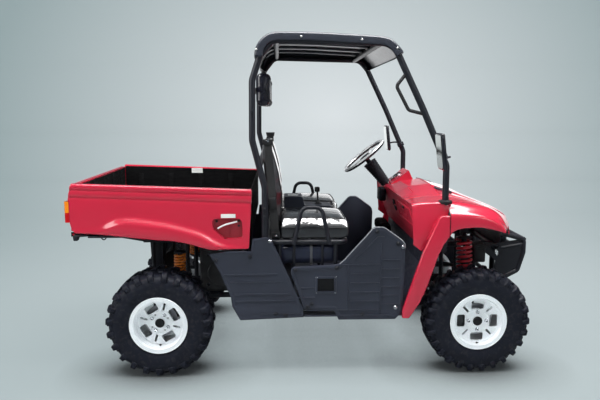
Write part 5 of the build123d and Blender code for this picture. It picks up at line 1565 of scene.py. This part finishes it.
class VEHICLE_OT_front_end(bpy.types.Operator):
    """Models the bumper's side plates, the grille slats, the lamp bezels and the air box"""

    bl_idname = "vehicle.front_end"
    bl_label = "Front end"

    def execute(self, context):
        cheek = plate(row_at(-0.306, BUMPER_PLATE), (0, 0.012, 0))
        opening = mm([(1180, 692), (1240, 698), (1240, 636), (1232, 628)])
        cut(cheek, plate(row_at(-0.32, opening), (0, 0.04, 0)))
        soften(cheek, 0.002, 1)
        mesh = []
        for i in range(7):
            upright = [(1.178 + i * 0.01, -0.3, 0.71 - i * 0.001), (1.212 + i * 0.01, -0.3, 0.622)]
            across = [(1.168, -0.3, 0.632 + i * 0.011), (1.248, -0.3, 0.64 + i * 0.011)]
            mesh += [pipe(line, 0.0012, 2, False, 0) for line in (upright, across)]
        present(both_sides(merge(cheek, *mesh)), "bumper_cheeks", "chassis", "frame")
        slats = [block((1.2585, -0.27, z), (1.266, 0.27, z + 0.006), 0.0015, 1)
                 for z in (0.655, 0.752, 0.763, 0.774, 0.785)]
        slats += [block((1.2585, -0.128, z), (1.266, 0.128, z + 0.006), 0.0015, 1)
                  for z in (0.67, 0.686, 0.702, 0.718, 0.734)]
        present(merge(*slats), "grille_slats", "chassis", "grip")
        bezels = []
        for side in (-1, 1):
            low, high = sorted((side * 0.136, side * 0.266))
            ring = block((1.2595, low, 0.657), (1.3, high, 0.751), 0.006, 3)
            cut(ring, block((1.2, low + 0.006, 0.664), (1.4, high - 0.006, 0.744)))
            bezels.append(ring)
        present(merge(*bezels), "headlamp_bezels", "chassis", "gloss_grip")
        bowls = []
        for side in (-1, 1):
            bowls.append(turned([(0, 0.001), (0.022, 0.002), (0.034, 0.012), (0.038, 0.024), (0.0395, 0.024),
                                 (0.0395, 0), (0, 0)], (1.2605, side * 0.201, 0.704), X, 40))
        present(merge(*bowls), "headlamp_bowls", "chassis", "reflector")
        box = block((1.066, -0.334, 0.592), (1.146, -0.225, 0.712), 0.01, 3)
        lid = block((1.062, -0.338, 0.686), (1.15, -0.221, 0.7), 0.004, 2)
        clips = [block((x, -0.3395, 0.672), (x + 0.012, -0.336, 0.706), 0.001, 1) for x in (1.078, 1.122)]
        present(merge(box, lid, *clips), "air_box", "chassis", "grip")
        return {"FINISHED"}


# ------------------------------------------------------------------ tailgate and bolts
class VEHICLE_OT_tailgate(bpy.types.Operator):
    """Models the tailgate's pressed panel, liner and handle"""

    bl_idname = "vehicle.tailgate"
    bl_label = "Tailgate"

    def execute(self, context):
        raised = [(-1.404, y, z) for y, z in ((-0.5, 0.91), (0.5, 0.91), (0.5, 1.085), (-0.5, 1.085))]
        panel = panelled(raised, (0.006, 0, 0), 0.03, 0.003, 0.002)
        panel = copies(panel, moved((-0.0045, 0, 0)))
        present(panel, "tailgate_pressing", "gate", "body")
        liner = [block((-1.3745, -0.586, 0.872), (-1.371, 0.586, 1.13), 0.001, 1)]
        liner += [block((-1.3715, y - 0.02, 0.885), (-1.3665, y + 0.02, 1.12), 0.002, 2)
                  for y in (-0.45, -0.225, 0, 0.225, 0.45)]
        present(merge(*liner), "tailgate_liner", "gate", "liner")
        cup = block((-1.4105, -0.075, 1.096), (-1.403, 0.075, 1.128), 0.004, 3)
        pull = block((-1.4145, -0.055, 1.104), (-1.409, 0.055, 1.118), 0.002, 2)
        present(merge(cup, pull), "tailgate_handle", "gate", "grip")
        return {"FINISHED"}


class VEHICLE_OT_fasteners(bpy.types.Operator):
    """Adds the cage's and the engine's bolts, the engine's covers and the damper gussets"""

    bl_idname = "vehicle.fasteners"
    bl_label = "Fasteners"

    def execute(self, context):
        size = context.scene.vehicle_sizes.bolt_width
        cage = [((-0.2735, -0.645, 1.0), -Y), ((-0.2735, -0.645, 0.955), -Y), ((-0.2735, -0.645, 0.45), -Y),
                ((0.7895, -0.645, 0.9), -Y), ((-0.34, -0.645, 1.56), -Y)]
        bolts = copies(bolt_head(size * 0.8), [facing(spot, way) for spot, way in cage])
        gusset = [(-1.03, 0.748), (-0.95, 0.748), (-0.926, 0.7), (-0.932, 0.6), (-0.965, 0.558),
                  (-1.022, 0.562)]
        gusset = plate(row_at(-0.213, gusset), (0, 0.01, 0), 0.002, 2)
        lip = block((-0.952, -0.23, 0.57), (-0.944, -0.204, 0.74), 0.002, 2)
        present(both_sides(merge(gusset, lip)), "damper_gussets", "chassis", "frame")
        present(both_sides(bolts), "cage_bolts", "chassis", "frame")
        spots = on_side(-0.1805, ((-0.66, 0.42), (-0.5, 0.42), (-0.66, 0.62), (-0.5, 0.62), (-0.58, 0.66),
                                  (-0.46, 0.52)))
        present(both_sides(copies(bolt_head(size * 0.9), spots)), "engine_bolts", "chassis",
                "chrome")
        cover = turned([(0, 0), (0.085, 0), (0.085, 0.012), (0.078, 0.018), (0.03, 0.024), (0, 0.024)],
                       (0, 0, 0), Z, 48)
        covers = copies(cover, [facing((-0.58, side * 0.1795, 0.5), Y * side) for side in (-1, 1)])
        present(covers, "engine_covers", "chassis", "casting")
        return {"FINISHED"}


# ------------------------------------------------------------------ stage
def backdrop_finish():
    """Pale grey-green studio paper, lighter behind the vehicle, with painted contact shadows and a glowing
    band that paints reflections on the body.
    """
    material, tree, shader, place = start_finish("studio_paper", 0.9)
    gradient = tree.nodes.new("ShaderNodeTexGradient")
    gradient.gradient_type = "SPHERICAL"
    tree.links.new(shifted(tree, place, (0.7, 5.9, 1.5), (0.18, 0.088, 0.24)), gradient.inputs["Vector"])
    grain = mottle(tree, place, 60, 3)
    tone = blend_colours(tree, gradient.outputs["Fac"], (0.3, 0.385, 0.4), (0.73, 0.776, 0.8))
    tone = blend_colours(tree, span(tree, grain, 0, 0.03), tone, (0.5, 0.55, 0.55))
    # Painted shadow: ambient occlusion darkens the paper's colour under and beside the tyres as painted
    # contact shadows.
    contact = tree.nodes.new("ShaderNodeAmbientOcclusion")
    contact.inputs["Distance"].default_value = 0.4
    contact.samples = 8
    depth = span(tree, contact.outputs["AO"], 0.0, 1, 0.52, 0.97)
    path = tree.nodes.new("ShaderNodeLightPath")
    mirrored = tree.nodes.new("ShaderNodeMath")
    mirrored.operation = "MAXIMUM"
    tree.links.new(path.outputs["Is Glossy Ray"], mirrored.inputs[0])
    tree.links.new(path.outputs["Is Transmission Ray"], mirrored.inputs[1])
    # Painted reflection: for glossy rays the paper glows with a bright band, which puts painted highlights
    # and reflections on the body and seats.
    band = tree.nodes.new("ShaderNodeTexGradient")
    band.gradient_type = "SPHERICAL"
    tree.links.new(shifted(tree, place, (2.2, 5.9, 1.1), (0.16, 0.088, 0.85)), band.inputs["Vector"])
    painted_reflection = blend_colours(tree, band.outputs["Fac"], (0.04, 0.045, 0.05), (2.2, 2.2, 2.2))
    glow = blend_colours(tree, mirrored.outputs["Value"], (0, 0, 0), painted_reflection)
    shadowed = blend_colours(tree, depth, (0.02, 0.022, 0.024), tone)
    glow = blend_colours(tree, path.outputs["Is Camera Ray"], glow, shadowed)
    tree.links.new(glow, shader.inputs["Emission Color"])
    shader.inputs["Emission Strength"].default_value = 0.88
    # Painted reflection: the base colour is dark for glossy rays and pale for other rays, so the paper seen
    # in reflections is not the paper that bounces light.
    base = blend_colours(tree, mirrored.outputs["Value"], (0.6, 0.64, 0.64), (0.1, 0.11, 0.12))
    base = blend_colours(tree, path.outputs["Is Camera Ray"], base, (0.07, 0.075, 0.075))
    tree.links.new(base, shader.inputs["Base Color"])
    shader.inputs["Specular IOR Level"].default_value = 0.0
    return material


def lamp(name, spot, aim, size, power):
    """Large soft lamp that looks at a point."""
    clear_selection()
    bpy.ops.object.light_add(type="AREA", location=spot)
    obj = bpy.context.object
    obj.name = name
    obj.rotation_euler = (Vector(aim) - Vector(spot)).to_track_quat("-Z", "Y").to_euler()
    obj.data.shape = "RECTANGLE"
    obj.data.size, obj.data.size_y = size
    obj.data.energy = power


CAMERA_SPOT = (-0.188, -4.14, 1.57)
CAMERA_TURN = (radians(90 - 8.41), 0, radians(-1.99))
CAMERA_LENS, CAMERA_SENSOR = 36.6, 36.0
LAMPS = (
    ("top_lamp", (0.2, -0.8, 5.0), (0, 0, 0.6), (5.5, 3.2), 780),
    ("strip_lamp", (0.1, -1.36, 3.9), (0.1, -0.6, 0.9), (5.4, 0.5), 165),
    ("front_lamp", (2.3, -4.6, 3.3), (0.9, 0, 0.7), (3.2, 2.2), 380),
    ("tail_lamp", (-4.2, -2.6, 2.6), (-0.4, 0, 0.8), (2.4, 2.2), 80),
)


class VEHICLE_OT_stage(bpy.types.Operator):
    """Sets the floor, the backdrop, the lamps and the camera"""

    bl_idname = "vehicle.stage"
    bl_label = "Stage"

    def execute(self, context):
        line = [(-9, 0), (3.2, 0), (4.2, 0.12), (5.1, 0.5), (5.7, 1.2), (6, 2.3), (6, 9)]
        floor = chain([(-14, y, z) for y, z in line], filled=False)
        edit(floor)
        bpy.ops.mesh.select_mode(type="EDGE")
        bpy.ops.mesh.extrude_region_move(TRANSFORM_OT_translate={"value": (28, 0, 0)})
        bpy.ops.object.mode_set(mode="OBJECT")
        floor.name = floor.data.name = "studio_floor"
        floor.data.materials.append(backdrop_finish())
        smooth(floor, 60)
        context.view_layer.update()
        world = bpy.data.worlds.new("studio_light")
        world.use_nodes = True
        tree, sky = world.node_tree, world.node_tree.nodes["Background"]
        heading = tree.nodes.new("ShaderNodeSeparateXYZ")
        tree.links.new(tree.nodes.new("ShaderNodeTexCoord").outputs["Generated"], heading.inputs["Vector"])
        height = span(tree, heading.outputs["Z"], 0, 1, 0.08, 0.7)
        tree.links.new(blend_colours(tree, height, (0.17, 0.185, 0.205), (1.3, 1.35, 1.4)),
                       sky.inputs["Color"])
        sky.inputs["Strength"].default_value = 1.0
        context.scene.world = world
        for settings in LAMPS:
            lamp(*settings)
        clear_selection()
        bpy.ops.object.camera_add(location=CAMERA_SPOT, rotation=CAMERA_TURN)
        camera = context.object
        camera.name = "camera"
        camera.data.lens, camera.data.sensor_width = CAMERA_LENS, CAMERA_SENSOR
        context.scene.camera = camera
        context.scene.view_settings.view_transform = "Standard"
        return {"FINISHED"}


# ------------------------------------------------------------------ panel and start
class VEHICLE_PT_trim(bpy.types.Panel):
    """Lists the sizes, the colours and the steps that model the trim"""

    bl_idname = "VEHICLE_PT_trim"
    bl_label = "Vehicle trim"
    bl_space_type = "VIEW_3D"
    bl_region_type = "UI"
    bl_category = "Vehicle"

    def draw(self, context):
        for group, kind in ((context.scene.vehicle_sizes, VehicleSizes),
                            (context.scene.vehicle_colours, VehicleColours)):
            for key in kind.__annotations__:
                self.layout.prop(group, key)
        for step in STEPS:
            self.layout.operator(step.bl_idname)


STEPS = (
    VEHICLE_OT_finish_frame,
    VEHICLE_OT_tyres,
    VEHICLE_OT_wheels,
    VEHICLE_OT_springs,
    VEHICLE_OT_front_body,
    VEHICLE_OT_load_bed,
    VEHICLE_OT_roof,
    VEHICLE_OT_seats,
    VEHICLE_OT_belts,
    VEHICLE_OT_side_guards,
    VEHICLE_OT_cabin,
    VEHICLE_OT_mirrors,
    VEHICLE_OT_front_end,
    VEHICLE_OT_tailgate,
    VEHICLE_OT_fasteners,
    VEHICLE_OT_stage,
)
CLASSES = (VehicleSizes, VehicleColours, *STEPS, VEHICLE_PT_trim)


def register():
    """Adds the classes and their settings to Blender."""
    for cls in CLASSES:
        bpy.utils.register_class(cls)
    bpy.types.Scene.vehicle_sizes = bpy.props.PointerProperty(type=VehicleSizes)
    bpy.types.Scene.vehicle_colours = bpy.props.PointerProperty(type=VehicleColours)


def unregister():
    """Takes the classes and their settings away again."""
    del bpy.types.Scene.vehicle_colours
    del bpy.types.Scene.vehicle_sizes
    for cls in reversed(CLASSES):
        bpy.utils.unregister_class(cls)


def main():
    """Models every piece."""
    register()
    for step in STEPS:
        group, action = step.bl_idname.split(".")
        getattr(getattr(bpy.ops, group), action)()


if __name__ == "__main__":
    main()
